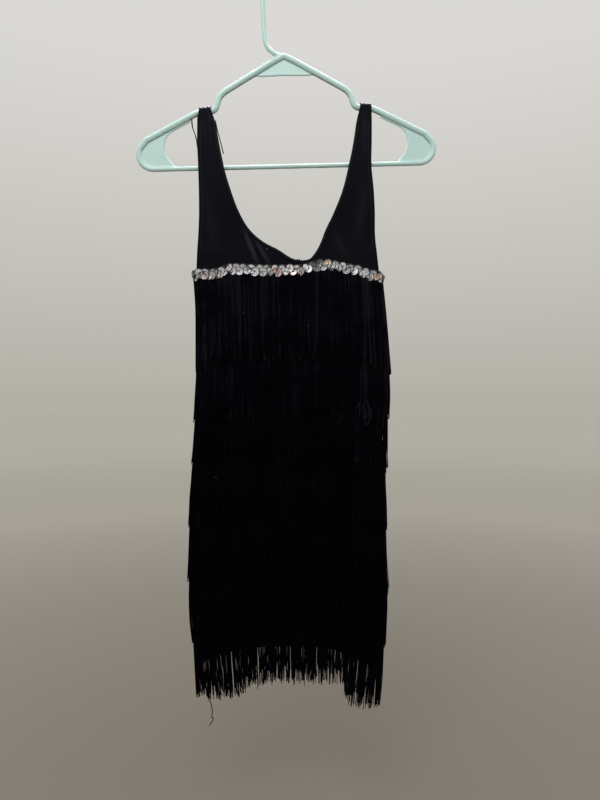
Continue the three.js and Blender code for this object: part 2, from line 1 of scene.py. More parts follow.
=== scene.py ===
# %% [markdown]
# # A fringed flapper dress on its hanger
# The real dress is a short tube of black stretch jersey with wide straps. A sequin trim runs round
# it under the neck, and seven rows of chainette fringe hang from woven tapes. It hangs from a
# tubular plastic hanger, tilted a little, and its sides curl forward.
# The notebook first loads the frame, which holds the plain solids that the looks are built on. Each
# later cell makes one piece over its solid, so nothing has to be fitted afterwards.

import bmesh
import bpy
import numpy as np
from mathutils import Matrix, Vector


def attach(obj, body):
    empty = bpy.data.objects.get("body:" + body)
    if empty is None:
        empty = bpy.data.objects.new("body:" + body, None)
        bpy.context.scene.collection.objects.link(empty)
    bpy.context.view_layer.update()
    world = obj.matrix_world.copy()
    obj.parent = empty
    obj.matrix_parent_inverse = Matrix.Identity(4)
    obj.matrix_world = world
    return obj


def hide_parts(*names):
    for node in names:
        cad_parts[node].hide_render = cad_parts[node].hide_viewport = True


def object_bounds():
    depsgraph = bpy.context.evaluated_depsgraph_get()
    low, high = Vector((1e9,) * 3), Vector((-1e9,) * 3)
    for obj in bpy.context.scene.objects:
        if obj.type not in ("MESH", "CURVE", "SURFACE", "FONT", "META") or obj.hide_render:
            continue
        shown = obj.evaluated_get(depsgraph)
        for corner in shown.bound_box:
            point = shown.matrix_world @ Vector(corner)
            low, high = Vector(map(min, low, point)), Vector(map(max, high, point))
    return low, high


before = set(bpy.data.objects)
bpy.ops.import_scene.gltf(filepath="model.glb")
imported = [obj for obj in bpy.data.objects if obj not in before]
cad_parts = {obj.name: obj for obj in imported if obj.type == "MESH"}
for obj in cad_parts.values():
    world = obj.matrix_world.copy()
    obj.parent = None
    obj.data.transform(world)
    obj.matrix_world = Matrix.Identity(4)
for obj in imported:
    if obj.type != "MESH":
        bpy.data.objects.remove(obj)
cad_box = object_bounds()
print("solids", sorted(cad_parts))
print("solid box", [[round(v, 3) for v in corner] for corner in cad_box])

# %% [markdown]
# ## Camera
# A hanging garment is looked at from about an arm's length, so the near fringe seems a little larger
# than the hanger. A short lens at the true distance keeps that. The other way, a long lens from far
# off, would flatten the folds at the sides.

# %% Camera
CAMERA_PLACE = (0.0196, -0.840, -0.588)
LENS_MM, SENSOR_MM = 27.0, 36.0


def put_in_scene(name, data):
    """An object at the origin for a mesh, a light or a camera."""
    made = bpy.data.objects.new(name, data)
    bpy.context.scene.collection.objects.link(made)
    return made


camera_data = bpy.data.cameras.new("camera")
camera_data.lens = LENS_MM
camera_data.sensor_width = SENSOR_MM
camera = put_in_scene("camera", camera_data)
camera.location = CAMERA_PLACE
camera.rotation_euler = (np.pi / 2, 0, 0)
bpy.context.scene.camera = camera
print("camera looks along +Y from", CAMERA_PLACE)

# %% [markdown]
# ## Node helpers
# Materials and Geometry Nodes are both trees of nodes. One helper adds a node, sets what it is told
# and wires it. The others stand for the few nodes that nearly every finish here needs: noise, bands,
# a change of range and a bump. With them each tree below reads as a short list.

# %% Node helpers
def add_node(tree, kind, inputs=None, **settings):
    """Adds a node. Each input is a value or the output socket of another node."""
    made = tree.nodes.new(kind)
    for name, value in settings.items():
        setattr(made, name, value)
    for name, value in (inputs or {}).items():
        if isinstance(value, bpy.types.NodeSocket):
            tree.links.new(value, made.inputs[name])
        else:
            made.inputs[name].default_value = value
    return made


def new_material(name, roughness, **constants):
    """A Principled material. Constants are set on the shader's own sockets."""
    material = bpy.data.materials.new(name)
    material.use_nodes = True
    shader = material.node_tree.nodes["Principled BSDF"]
    shader.inputs["Roughness"].default_value = roughness
    for socket, value in constants.items():
        shader.inputs[socket.replace("_", " ")].default_value = value
    return material, material.node_tree, shader


def colour_ramp(tree, factor, stops):
    """Colours between the stops, each a place from 0 to 1 and a linear colour."""
    ramp = add_node(tree, "ShaderNodeValToRGB", {"Fac": factor})
    elements = ramp.color_ramp.elements
    for place, _ in stops[1:-1]:
        elements.new(place)
    for element, (place, colour) in zip(elements, stops):
        element.position = place
        element.color = (*colour, 1)
    return ramp.outputs["Color"]


def mix_colours(tree, factor, colour, other):
    """Goes from a colour socket to another linear colour as the factor goes from 0 to 1."""
    colour_a, colour_b, result = 6, 7, 2
    mixed = add_node(tree, "ShaderNodeMix", {"Factor": factor, colour_a: colour,
                                             colour_b: (*other, 1)}, data_type="RGBA")
    return mixed.outputs[result]


def place_on(tree, kind="Object"):
    """Where a point of the surface lies, on the object or on its own UV map."""
    return add_node(tree, "ShaderNodeTexCoord").outputs[kind]


def attribute(tree, name, output="Fac"):
    return add_node(tree, "ShaderNodeAttribute", attribute_name=name).outputs[output]


def noise(tree, place, scale, detail):
    made = add_node(tree, "ShaderNodeTexNoise", {"Vector": place, "Scale": scale, "Detail": detail})
    return made.outputs["Fac"]


def bands(tree, place, scale, direction, **more):
    """Even bands across one direction, bent a little by their distortion."""
    inputs = {name.replace("_", " "): value for name, value in more.items()}
    inputs.update({"Vector": place, "Scale": scale})
    return add_node(tree, "ShaderNodeTexWave", inputs, bands_direction=direction).outputs["Fac"]


def spread(tree, value, low, high, start=0.0, end=1.0):
    """Takes a value that runs from start to end to one that runs from low to high."""
    made = add_node(tree, "ShaderNodeMapRange", {
        "Value": value, "From Min": start, "From Max": end, "To Min": low, "To Max": high})
    return made.outputs["Result"]


def math(tree, operation, a, b=0.0):
    return add_node(tree, "ShaderNodeMath", {0: a, 1: b}, operation=operation).outputs["Value"]


def vector_math(tree, operation, a, b):
    """Joins two vectors, or scales a vector by a number."""
    second = "Scale" if operation == "SCALE" else 1
    made = add_node(tree, "ShaderNodeVectorMath", {0: a, second: b}, operation=operation)
    return made.outputs["Vector"]


def raise_relief(tree, shader, height, strength, depth):
    """Shades the surface as if it rose and fell with a height."""
    bump = add_node(tree, "ShaderNodeBump", {"Height": height, "Strength": strength,
                                             "Distance": depth})
    tree.links.new(bump.outputs["Normal"], shader.inputs["Normal"])


print("node helpers ready")

# %% [markdown]
# ## Mesh helpers
# Modelling by hand with operators would be slow and hard to repeat. A mesh made from numpy arrays is
# the quickest way to bring a computed surface into Blender. Most pieces here are grids of points
# stored row by row, so one function lists their faces, and another closes a tube's ends.

# %% Mesh helpers
MM = 0.001
DOUBLES = 1e-6


def set_attribute(piece, name, values):
    """Stores one number for each point of a mesh."""
    layer = piece.data.attributes.new(name, "FLOAT", "POINT")
    layer.data.foreach_set("value", np.asarray(values, float).ravel())


def new_object(name, points, faces, material=None, smooth=True):
    """A mesh object from points in metres, at the origin, smooth shaded."""
    mesh = bpy.data.meshes.new(name)
    mesh.from_pydata([tuple(p) for p in points], [], [tuple(map(int, f)) for f in faces])
    mesh.update()
    if smooth:
        mesh.shade_smooth()
    if material:
        mesh.materials.append(material)
    return put_in_scene(name, mesh)


def weld(piece, outwards=True):
    """Merges doubles and, on a closed mesh, turns every face outwards."""
    mesh = bmesh.new()
    mesh.from_mesh(piece.data)
    bmesh.ops.remove_doubles(mesh, verts=mesh.verts, dist=DOUBLES)
    if outwards:
        bmesh.ops.recalc_face_normals(mesh, faces=mesh.faces)
    mesh.to_mesh(piece.data)
    mesh.free()
    return piece


def grid_faces(rows, columns, loop_rows=False, loop_columns=False):
    """Quads of a grid of points that is stored row by row."""
    r = np.arange(rows if loop_rows else rows - 1)
    c = np.arange(columns if loop_columns else columns - 1)
    r, c = np.meshgrid(r, c, indexing="ij")
    r2, c2 = (r + 1) % rows, (c + 1) % columns
    corners = (r * columns + c, r * columns + c2, r2 * columns + c2, r2 * columns + c)
    return np.stack([corner.ravel() for corner in corners], axis=1)


def tube_faces(rings, sides):
    """Quads of a tube of rings, and one face over each of its ends."""
    last = (rings - 1) * sides
    faces = [tuple(face) for face in grid_faces(rings, sides, False, True)]
    return faces + [tuple(range(sides)), tuple(range(last, last + sides))]


def circle(sides):
    return np.linspace(0, 2 * np.pi, sides, endpoint=False)


def triangles(piece):
    return sum(len(face.vertices) - 2 for face in piece.data.polygons)


print("mesh helpers ready")

# %% [markdown]
# ## Stage and light
# The stage is a plain pale floor under the hem and a pale surrounding sky, so that the black fringe
# shows its outline from every side. A wall behind would hide the dress from the back. The floor is
# painted darker near the dress. This keeps its glow off the undersides and is painted shade against the
# lamps' pool of light there. Far off it grows paler until it meets the sky.
# Black cloth shows its form only by sheen. So a large soft light stands above and in front, as a
# window would. A long narrow one hangs high over the hanger, a little behind it, and edges the tops
# of both straps. Further back it would burn out the gloss on the hanger's upper edges.

# %% Stage and lights
FLOOR_BELOW_HEM = 0.14
FLOOR_SIZE = 60.0
# distance from the origin in metres, colour
# darker near the dress as painted shade, paler far off where the floor meets the sky
floor_paint_and_shade = [
    (1.1, (0.150, 0.131, 0.109)), (1.3, (0.197, 0.176, 0.146)), (1.6, (0.262, 0.243, 0.21)),
    (2.0, (0.348, 0.328, 0.29)), (2.6, (0.470, 0.446, 0.395)), (5.5, (0.590, 0.578, 0.515)),
    (8.0, (0.62, 0.604, 0.55)),
]

floor_z = cad_box[0][2] - FLOOR_BELOW_HEM
half_floor = FLOOR_SIZE / 2
floor_corners = [(-half_floor, -half_floor), (half_floor, -half_floor),
                 (half_floor, half_floor), (-half_floor, half_floor)]
floor = new_object("floor", [(x, y, floor_z) for x, y in floor_corners], [(0, 1, 2, 3)])
floor_material, tree, shader = new_material("floor_paint_and_shade", 0.85)
away = add_node(tree, "ShaderNodeVectorMath", {0: place_on(tree)}, operation="LENGTH")
nearest, farthest = floor_paint_and_shade[0][0], floor_paint_and_shade[-1][0]
share = spread(tree, away.outputs["Value"], 0, 1, nearest, farthest)
paint = colour_ramp(tree, share, [
    ((distance - nearest) / (farthest - nearest), colour) for distance, colour in floor_paint_and_shade])
tree.links.new(paint, shader.inputs["Base Color"])
floor.data.materials.append(floor_material)

SKY_LOW, SKY_HIGH = (0.446, 0.430, 0.380), (0.70, 0.69, 0.665)

world = bpy.data.worlds.new("studio")
world.use_nodes = True
tree = world.node_tree
height = add_node(tree, "ShaderNodeSeparateXYZ", {"Vector": place_on(tree, "Generated")}).outputs["Z"]
sky = colour_ramp(tree, height, [(0.0, SKY_LOW), (0.5, SKY_HIGH)])
tree.links.new(sky, tree.nodes["Background"].inputs["Color"])
bpy.context.scene.world = world
bpy.context.scene.view_settings.view_transform = "Standard"


def soft_light(name, place, target, size, watts, tint=(1, 1, 1)):
    """An area light of a width and a height at a place, turned towards a target."""
    light = bpy.data.lights.new(name, "AREA")
    light.shape = "RECTANGLE"
    light.size, light.size_y = size
    light.energy = watts
    light.color = tint
    made = put_in_scene(name, light)
    made.location = place
    made.rotation_euler = (Vector(target) - Vector(place)).to_track_quat("-Z", "Y").to_euler()


soft_light("key_light", (-0.25, -1.15, 0.85), (0, 0, -0.45), (0.8, 0.8), 9.5, (1, 0.99, 0.97))
soft_light("edge_light", (0.0, 0.20, 0.75), (0, 0, -0.2), (0.85, 0.3), 15.0)
print("floor at", round(floor_z, 3))

# %% [markdown]
# ## The dress as a surface
# Everything on the dress, from the cloth to the last fringe, follows one surface: a flat tube whose
# sides curl forward and drop, with a soft pleat down the right side. It could be sculpted, but then
# nothing else would fit it. Here it is a formula over two short tables of sections, in millimetres,
# and every piece asks it for a point at a place across, a height and a distance off the inner face.

# %% Sections of the dress
FRONT, BACK = -1, 1
SEAM_GAP = 0.3
CLOTH_WALL = 1.6
ARM_RADIUS, ARM_SIDES, ARM_CLEARANCE = 4.3, 8, 0.45
STRAP_INNER = ARM_RADIUS / np.cos(np.pi / ARM_SIDES) + ARM_CLEARANCE
ARMHOLE_BOTTOM = -384.0
ARMHOLE_RUN = 100.0
BODICE_BLEND = 16.0
BUST_Z = -405.0
NECK_LOW = (22.4, -394.0)
BACK_NECK_DROP, DROP_START, DROP_RUN = 6.0, -250.0, 140.0
HEM_Z = -929.0

body_names = ("z", "left", "right", "curl_left", "curl_right", "puff")
body_rows = np.array([
    (-360, -121.8, 123.6, 5, 5, 5.0),
    (-384, -123.2, 126.3, 6, 6, 5.5),
    (-405, -124.0, 128.5, 6, 7, 6.0),
    (-438, -124.0, 132.0, 8, 9, 6.5),
    (-477, -120.0, 134.0, 9, 11, 7.0),
    (-532, -118.5, 137.0, 11, 13, 7.5),
    (-588, -119.5, 136.0, 13, 14, 7.8),
    (-643, -121.5, 132.0, 16, 15, 8.0),
    (-700, -125.0, 131.5, 19, 16, 8.0),
    (-770, -126.0, 131.5, 22, 17, 8.0),
    (-840, -125.5, 132.5, 25, 18, 8.2),
    (-885, -121.0, 129.0, 27, 18, 8.4),
    (-929, -117.0, 125.0, 28, 18, 8.5),
    (-1040, -108.0, 113.0, 29, 18, 8.5),
])
neck_names = ("z", "outer_left", "neck_left", "neck_right", "outer_right")
neck_rows = np.array([
    (-394, -123.5, 22.4, 22.4, 127.2),
    (-392, -123.5, 10.5, 33.0, 127.0),
    (-387, -123.4, 1.0, 38.0, 126.6),
    (-379, -123.0, -11.0, 43.5, 125.8),
    (-369, -122.4, -30.0, 48.5, 124.6),
    (-353, -121.4, -49.0, 54.5, 123.6),
    (-328, -120.4, -64.5, 66.5, 123.4),
    (-295, -120.6, -77.0, 79.2, 121.6),
    (-261, -121.8, -87.0, 87.4, 118.6),
    (-228, -123.2, -94.0, 94.2, 119.2),
    (-197, -123.2, -99.5, 98.8, 119.4),
])
STRAP_TOP_Z = neck_rows[-1, 0]
strap_top = {"outer_left": -121.0, "neck_left": -104.4, "neck_right": 103.4, "outer_right": 118.8}
side_drop = {"start": -440.0, "end": -930.0, "left": 16.0, "right": 24.0}
side_pleat = {"x": 58.0, "width": 42.0, "depth": 12.0, "start": -540.0, "end": -930.0}


def smooth_step(t):
    t = np.clip(t, 0, 1)
    return t * t * (3 - 2 * t)


def blend(a, b, t):
    return a + (b - a) * t


def curve_through(xs, ys, x):
    """A smooth curve through the points of a table, read at x."""
    xs, ys = np.asarray(xs, float), np.asarray(ys, float)
    slope = np.gradient(ys, xs)
    i = np.clip(np.searchsorted(xs, x) - 1, 0, len(xs) - 2)
    step = xs[i + 1] - xs[i]
    t = np.clip((x - xs[i]) / step, 0, 1)
    rise = t * t * (3 - 2 * t)
    return (ys[i] + (ys[i + 1] - ys[i]) * rise
            + step * (slope[i] * t * (1 - t) ** 2 - slope[i + 1] * t * t * (1 - t)))


def body_value(name, z):
    column = body_rows[:, body_names.index(name)]
    return curve_through(-body_rows[:, 0], column, -np.asarray(z, float))


def neck_value(name, z, drop=0.0):
    """An edge of bodice or strap. Read over the root of the depth, the neck's bottom is round."""
    z = np.asarray(z, float)
    lowest = NECK_LOW[1]
    lowered = z + drop * np.clip((DROP_START - z) / DROP_RUN, 0, 1)
    depth = np.sqrt(np.clip(lowered - lowest, 0, None))
    column = neck_rows[:, neck_names.index(name)]
    return curve_through(np.sqrt(neck_rows[:, 0] - lowest), column, depth)


def section(z):
    """Side edges, curls and puff of the dress at a height."""
    z = np.asarray(z, float)
    fade = 1 - np.clip((z - ARMHOLE_BOTTOM) / (STRAP_TOP_Z - ARMHOLE_BOTTOM), 0, 1)
    in_bodice = smooth_step((z - ARMHOLE_BOTTOM) / BODICE_BLEND + 0.5)
    values = {name: body_value(name, z) for name in body_names[1:]}
    outer = {side: neck_value("outer_" + side, z) for side in ("left", "right")}
    return {
        "left": blend(values["left"], outer["left"], in_bodice),
        "right": blend(values["right"], outer["right"], in_bodice),
        "curl_left": values["curl_left"] * fade,
        "curl_right": values["curl_right"] * fade,
        "puff": values["puff"] * fade,
    }


def edge_gap(z):
    """Half the air between front and back at the sides: the seam, then the open armhole."""
    opened = smooth_step((np.asarray(z, float) - ARMHOLE_BOTTOM) / ARMHOLE_RUN)
    return blend(SEAM_GAP / 2, STRAP_INNER, opened)


def cloth_point(side, x, z, out):
    """Points of a panel in metres: x across, z before the sides drop, out from the inner face."""
    x, z, out = np.broadcast_arrays(np.asarray(x, float), z, out)
    row = section(z)
    u = (x - (row["left"] + row["right"]) / 2) / ((row["right"] - row["left"]) / 2)
    curl = np.where(u < 0, row["curl_left"], row["curl_right"]) * np.abs(u) ** 3
    pleat_share = smooth_step((side_pleat["start"] - z) / (side_pleat["start"] - side_pleat["end"]))
    pleat = side_pleat["depth"] * pleat_share * smooth_step((x - side_pleat["x"]) / side_pleat["width"])
    hollow = edge_gap(z) + row["puff"] * (1 - np.minimum(1, u ** 4))
    drop_share = np.clip((side_drop["start"] - z) / (side_drop["start"] - side_drop["end"]), 0, 1)
    most = np.where(u < 0, side_drop["left"], side_drop["right"])
    drop = most * drop_share * np.minimum(1, np.abs(u) ** 3)
    return np.stack([x, -curl - pleat + side * (hollow + out), z - drop], axis=-1) * MM


bust = section(BUST_Z)
print("width at the bust", round(float(bust["right"] - bust["left"]), 1), "mm")

# %% [markdown]
# ## Hanger outline
# The hanger is one moulding: a tube bent into a triangle with notched shoulders, a thin web under
# the hook and a paddle at each end. The straps hang over its arms, so its outline comes before the
# cloth. It is drawn flat and symmetric, then turned by its tilt.

# %% Hanger outline
BAR_RADIUS, HOOK_RADIUS = 3.2, 3.5
HANGER_TILT = np.radians(1.36)
HANGER_SHIFT = -5.5
BAR_Z = -261.0
shoulder = np.array([
    (0, -106.6), (14, -113.5), (86.5, -156), (92.6, -163.5), (96.2, -176.5),
    (100.5, -181.2), (122, -183), (130, -186.6), (196, -220.6),
])


def on_hanger(x, y, z):
    """Turns the hanger's own drawing into its tilted place, in metres."""
    x, y, z = np.broadcast_arrays(np.asarray(x, float) + HANGER_SHIFT, y, z)
    cos, sin = np.cos(HANGER_TILT), np.sin(HANGER_TILT)
    return np.stack([x * cos - z * sin, y, x * sin + z * cos], axis=-1) * MM


def arm_height(x):
    """Height of the arm's middle line, in millimetres, at a place across."""
    drawn = np.vstack([shoulder[::-1] * (-1, 1), shoulder[1:]])
    placed = on_hanger(drawn[:, 0], 0, drawn[:, 1]) / MM
    return np.interp(x, placed[:, 0], placed[:, 2])


print("arm under the straps at", arm_height(-112).round(1), "and", arm_height(111).round(1), "mm")

# %% [markdown]
# ## Stretch jersey
# The dress is cut from black polyester jersey: nearly black, with a soft sheen where it turns away, and
# fine wales that run up and down. The wales are a wave on the cloth's own UV map, which is laid out in
# metres, so their pitch is a real size. Sheen is set on the shader, because cloth fuzz brightens at
# grazing angles, which a plain gloss would not do. Two attributes of the panels tell where the crest of
# a fold is painted lighter, a painted highlight for the light that it catches, and where the shoulder
# seam is pressed flat and shines.

# %% Jersey material
WALE_PITCH = 0.0009
# a wave texture of scale 1 draws about this many bands in one unit
BANDS_PER_UNIT = 3.14
# painted highlight colour for the crests of folds
FOLD_CREST_LIGHT = (0.027, 0.027, 0.034)

jersey, tree, shader = new_material(
    "jersey", 0.5, Sheen_Weight=0.022, Sheen_Roughness=0.4, Sheen_Tint=(0.75, 0.8, 1, 1),
    Specular_Tint=(0.72, 0.76, 1, 1))
uv = place_on(tree, "UV")
dye = colour_ramp(tree, noise(tree, uv, 60.0, 4.0),
                  [(0.3, (0.0020, 0.0021, 0.0034)), (0.7, (0.0032, 0.0034, 0.0052))])
# fold crests mix towards the painted highlight colour
fold_lit = mix_colours(tree, attribute(tree, "painted_fold_light"), dye, FOLD_CREST_LIGHT)
wales = bands(tree, uv, 1 / WALE_PITCH / BANDS_PER_UNIT, "X", Distortion=0.6, Detail=1.0)
fuzz = noise(tree, uv, 1400.0, 2.0)
raise_relief(tree, shader, math(tree, "ADD", wales, fuzz), 0.25, 0.0003)
pressed = attribute(tree, "pressed")
for socket, value in (("Base Color", fold_lit), ("Coat Weight", pressed),
                      ("Roughness", spread(tree, pressed, 0.5, 0.14)),
                      ("Specular IOR Level", spread(tree, pressed, 0.07, 1.0))):
    tree.links.new(value, shader.inputs[socket])
print("wales every", WALE_PITCH / MM, "mm")

# %% [markdown]
# ## Front and back
# Each panel is one cut of jersey with both of its straps. It hangs by the straps, so small creases
# run from the straps and the neck. A cloth simulation would settle them in other places each time
# that a size changes. Here each crease is a row of a table: a line on the cloth, its width, and how
# far the cloth stands out along it. The thickness comes last, from Solidify, so both faces share it.

# %% Creases in the cloth
crease_names = ("side", "x0", "z0", "x1", "z1", "width", "height")
crease_rows = [
    (FRONT, -58.0, -352.0, -38.0, -402.0, 3.6, 2.6),
    (FRONT, -43.0, -366.0, -22.0, -402.0, 3.4, 2.2),
    (FRONT, -50.0, -360.0, -31.0, -402.0, 3.2, -0.9),
    (FRONT, -111.0, -188.0, -103.5, -203.0, 2.6, 1.3),
    (FRONT, -109.0, -204.0, -102.0, -221.0, 2.6, 1.1),
    (FRONT, -106.0, -221.0, -101.0, -238.0, 2.6, 0.9),
    (FRONT, -116.0, -196.0, -112.0, -232.0, 3.0, 0.7),
    (FRONT, 109.7, -190.0, 110.2, -224.0, 3.2, 0.8),
    (FRONT, 114.0, -205.0, 108.0, -262.0, 4.5, 0.6),
    (FRONT, -112.0, -300.0, -98.0, -388.0, 9.0, 0.8),
    (FRONT, 112.0, -290.0, 96.0, -380.0, 9.0, 0.9),
    (FRONT, 66.0, -352.0, 84.0, -396.0, 6.0, 0.9),
    (BACK, -52.0, -352.0, -30.0, -404.0, 6.0, 1.5),
    (BACK, 60.0, -356.0, 44.0, -404.0, 5.0, 1.3),
    (BACK, -108.0, -192.0, -104.0, -226.0, 2.8, 1.0),
    (BACK, 109.0, -194.0, 107.0, -236.0, 3.0, 0.9),
    (BACK, -112.0, -306.0, -94.0, -384.0, 9.0, 1.0),
    (BACK, 113.0, -300.0, 92.0, -392.0, 9.0, 0.8),
]
CREASE_SHARPNESS = 2.0


def creases(side, x, z):
    """How far the creases lift the cloth, in millimetres."""
    lift = np.zeros(np.broadcast(x, z).shape)
    for row in crease_rows:
        crease = dict(zip(crease_names, row))
        if crease["side"] != side:
            continue
        run_x, run_z = crease["x1"] - crease["x0"], crease["z1"] - crease["z0"]
        along = ((x - crease["x0"]) * run_x + (z - crease["z0"]) * run_z) / (run_x ** 2 + run_z ** 2)
        inside = np.clip(along, 0, 1)
        aside = np.hypot(x - crease["x0"] - inside * run_x, z - crease["z0"] - inside * run_z)
        ridge = np.exp(-((aside / crease["width"]) ** CREASE_SHARPNESS))
        lift += crease["height"] * ridge * np.sin(np.pi * np.clip(along, 0.02, 0.98)) ** 0.5
    return lift


print(len(crease_rows), "creases")

# %% [markdown]
# ## Panels from a grid
# A real panel is cut flat and sewn. Here each half of a panel, from its side seam to the neck, is a
# grid of points on the dress's surface, and the top of its strap is bent over the hanger's arm as far
# as the shoulder seam. The rows crowd together where the neck is round. The flat cut is kept as the
# UV map, so the knit runs true over every crease.

# %% Front and back panels
SHELL_THICKNESS = 1.1
SHELL_MIDDLE = CLOTH_WALL - SHELL_THICKNESS / 2
SKIRT_ROWS, BODICE_ROWS, NECK_ROWS, UNDER_NECK = 40, 16, 52, 40.0
PANEL_COLUMNS = {"left": 62, "right": 48}
STRAP_ARC_STEPS = 10
STRAP_TOP_FLAT = (14.0, 24.0)
# crease lift at which the painted fold highlight is full, and its curve
FULL_FOLD_LIGHT, FOLD_LIGHT_CURVE = 2.6, 1.5
GATHER_HEIGHT, GATHER_PITCH = 0.7, 5.3


def finished_mesh(piece):
    """The piece's mesh as its modifiers leave it, with all of its attributes."""
    graph = bpy.context.evaluated_depsgraph_get()
    return bpy.data.meshes.new_from_object(
        piece.evaluated_get(graph), preserve_all_data_layers=True, depsgraph=graph)


def apply_modifiers(piece):
    """Replaces a piece's mesh by its finished one and clears its modifiers."""
    mesh = finished_mesh(piece)
    piece.modifiers.clear()
    piece.data = mesh
    return piece


def neck_drop(side):
    return BACK_NECK_DROP if side == BACK else 0


def panel_heights(side):
    """Heights of a panel's rows from the hem up, closest together at the neck's bottom."""
    lowest = NECK_LOW[1] - neck_drop(side)
    skirt = np.linspace(HEM_Z, lowest - UNDER_NECK, SKIRT_ROWS)
    bodice = np.linspace(lowest - UNDER_NECK, lowest, BODICE_ROWS)
    neck = lowest + np.linspace(0, np.sqrt(STRAP_TOP_Z - lowest), NECK_ROWS) ** 2
    return np.concatenate([skirt[:-1], bodice[:-1], neck])


def strap_arc(side, x):
    """The top of a strap, bent over the arm as far as the shoulder seam."""
    angle = np.linspace(0, np.pi / 2, STRAP_ARC_STEPS)[:, None]
    gathers = GATHER_HEIGHT * np.sin(x * np.pi / GATHER_PITCH) ** 2 * np.sin(angle)
    reach = STRAP_INNER + SHELL_MIDDLE + gathers
    y = side * (SEAM_GAP / 2 + reach * np.cos(angle))
    z = arm_height(x) + reach * np.sin(angle)
    return np.stack(np.broadcast_arrays(x, y, z), axis=-1) * MM


def panel_half(side, hand):
    """Points, flat places, pressing, painted fold light and faces of half a panel with its strap."""
    z, columns = panel_heights(side), PANEL_COLUMNS[hand]
    t = np.linspace(0, 1, columns)[None, :]
    neck = neck_value("neck_" + hand, z, neck_drop(side))
    x = blend(section(z)[hand][:, None], neck[:, None], t)
    top_x = blend(strap_top["outer_" + hand], strap_top["neck_" + hand], t)
    lift = creases(side, x, z[:, None])
    cloth = cloth_point(side, x, z[:, None], SHELL_MIDDLE + lift)
    surface = np.vstack([cloth, strap_arc(side, top_x)])
    top_z = STRAP_TOP_Z + np.linspace(*STRAP_TOP_FLAT, STRAP_ARC_STEPS)
    widths = np.vstack([x, np.repeat(top_x, STRAP_ARC_STEPS, axis=0)])
    heights = np.concatenate([z, top_z])[:, None]
    flat = np.stack(np.broadcast_arrays(widths, heights), axis=-1).reshape(-1, 2) * MM
    to_seam = np.linspace(0, 1, STRAP_ARC_STEPS) ** 1.5
    pressed = np.repeat(np.concatenate([np.zeros(len(z)), to_seam]), columns)
    # painted highlight on fold crests, from how far the creases lift the cloth
    painted_fold_light = np.concatenate([np.clip(lift / FULL_FOLD_LIGHT, 0, 1).ravel() ** FOLD_LIGHT_CURVE,
                                np.zeros(STRAP_ARC_STEPS * columns)])
    return surface.reshape(-1, 3), flat, pressed, painted_fold_light, grid_faces(len(surface), columns)


def make_panel(name, side):
    """A panel of both halves, faced outwards, with its flat cut as UV map and its wall."""
    left, right = (panel_half(side, hand) for hand in PANEL_COLUMNS)
    points, flat, pressed, painted_fold_light = (np.concatenate(both) for both in zip(left[:4], right[:4]))
    faces = np.vstack([left[4], right[4] + len(left[0])])
    corners = points[faces]
    normals = np.cross(corners[:, 2] - corners[:, 0], corners[:, 3] - corners[:, 1])
    wrong = normals[:, 1] * side < 0
    faces[wrong] = faces[wrong][:, ::-1]
    piece = new_object(name, points, faces, jersey)
    set_attribute(piece, "pressed", pressed)
    set_attribute(piece, "painted_fold_light", painted_fold_light)
    layer = piece.data.uv_layers.new(name="flat")
    layer.data.foreach_set("uv", flat[faces.ravel()].ravel())
    weld(piece, outwards=False)
    shell = piece.modifiers.new("thickness", "SOLIDIFY")
    shell.thickness = SHELL_THICKNESS * MM
    shell.offset = 0
    shell.use_even_offset = True
    return apply_modifiers(piece)


dress_front = make_panel("dress_front_cloth", FRONT)
dress_back = make_panel("dress_back_cloth", BACK)
print("front", triangles(dress_front), "back", triangles(dress_back), "triangles")

# %% [markdown]
# ## Hanger
# A moulded hanger has no sharp joins: web, tube and hook run into each other in small fillets. Tubes
# swept along the outline and thin plates for the webs give the form, and a voxel remesh melts them
# into one skin, which some steps of smoothing round off. Bevels on each join would be far slower.

# %% Hanger tubes and webs
END_CENTRE_X, END_CENTRE_Z, END_RADIUS = 186.0, -240.6, 20.4
HOOK_BEND, HOOK_FOOT, HOOK_END = 33.0, -28.0, 5.0
WEB_THICKNESS = 2.4
TUBE_SIDES, CORNER_STEPS = 20, 6
MOULD_VOXEL, SMOOTHING_STEPS = 0.0009, 10
ARM_BEND, HOOK_FOOT_BEND, LIP_BEND, GUSSET_BEND = 7.0, 5.0, 5.0, 6.0


def round_corners(route, cut):
    """Replaces each inner corner of a route by a short curve that starts `cut` away from it."""
    rounded = [route[0]]
    for before, corner, after in zip(route[:-2], route[1:-1], route[2:]):
        ends = []
        for end in (before, after):
            way = end - corner
            length = np.linalg.norm(way[:2])
            ends.append(corner + way * min(cut, length * 0.45) / length)
        for t in np.linspace(0, 1, CORNER_STEPS):
            rounded.append((1 - t) ** 2 * ends[0] + 2 * t * (1 - t) * corner + t * t * ends[1])
    rounded.append(route[-1])
    return np.array(rounded)


def hanger_tube(route, closed=False):
    """Points and faces of a round tube along a route of x, z and radius, in the hanger's plane."""
    if closed:
        way = np.roll(route, -1, axis=0) - np.roll(route, 1, axis=0)
    else:
        way = np.gradient(route, axis=0)
    way = way[:, :2] / np.linalg.norm(way[:, :2], axis=1, keepdims=True)
    angle = circle(TUBE_SIDES)[None, :]
    out = route[:, 2:3] * np.cos(angle)
    x = route[:, 0:1] - way[:, 1:2] * out
    z = route[:, 1:2] + way[:, 0:1] * out
    points = on_hanger(x, route[:, 2:3] * np.sin(angle), z).reshape(-1, 3)
    if closed:
        return points, grid_faces(len(route), TUBE_SIDES, True, True)
    return points, tube_faces(len(route), TUBE_SIDES)


def hanger_plate(outline):
    """Points and faces of a thin plate in the hanger's plane."""
    outline = np.asarray(outline, float)
    count = len(outline)
    points = [on_hanger(outline[:, 0], side * WEB_THICKNESS / 2, outline[:, 1]) for side in (-1, 1)]
    faces = [tuple(range(count)), tuple(range(2 * count - 1, count - 1, -1))]
    faces += [(i, (i + 1) % count, (i + 1) % count + count, i + count) for i in range(count)]
    return np.vstack(points), faces


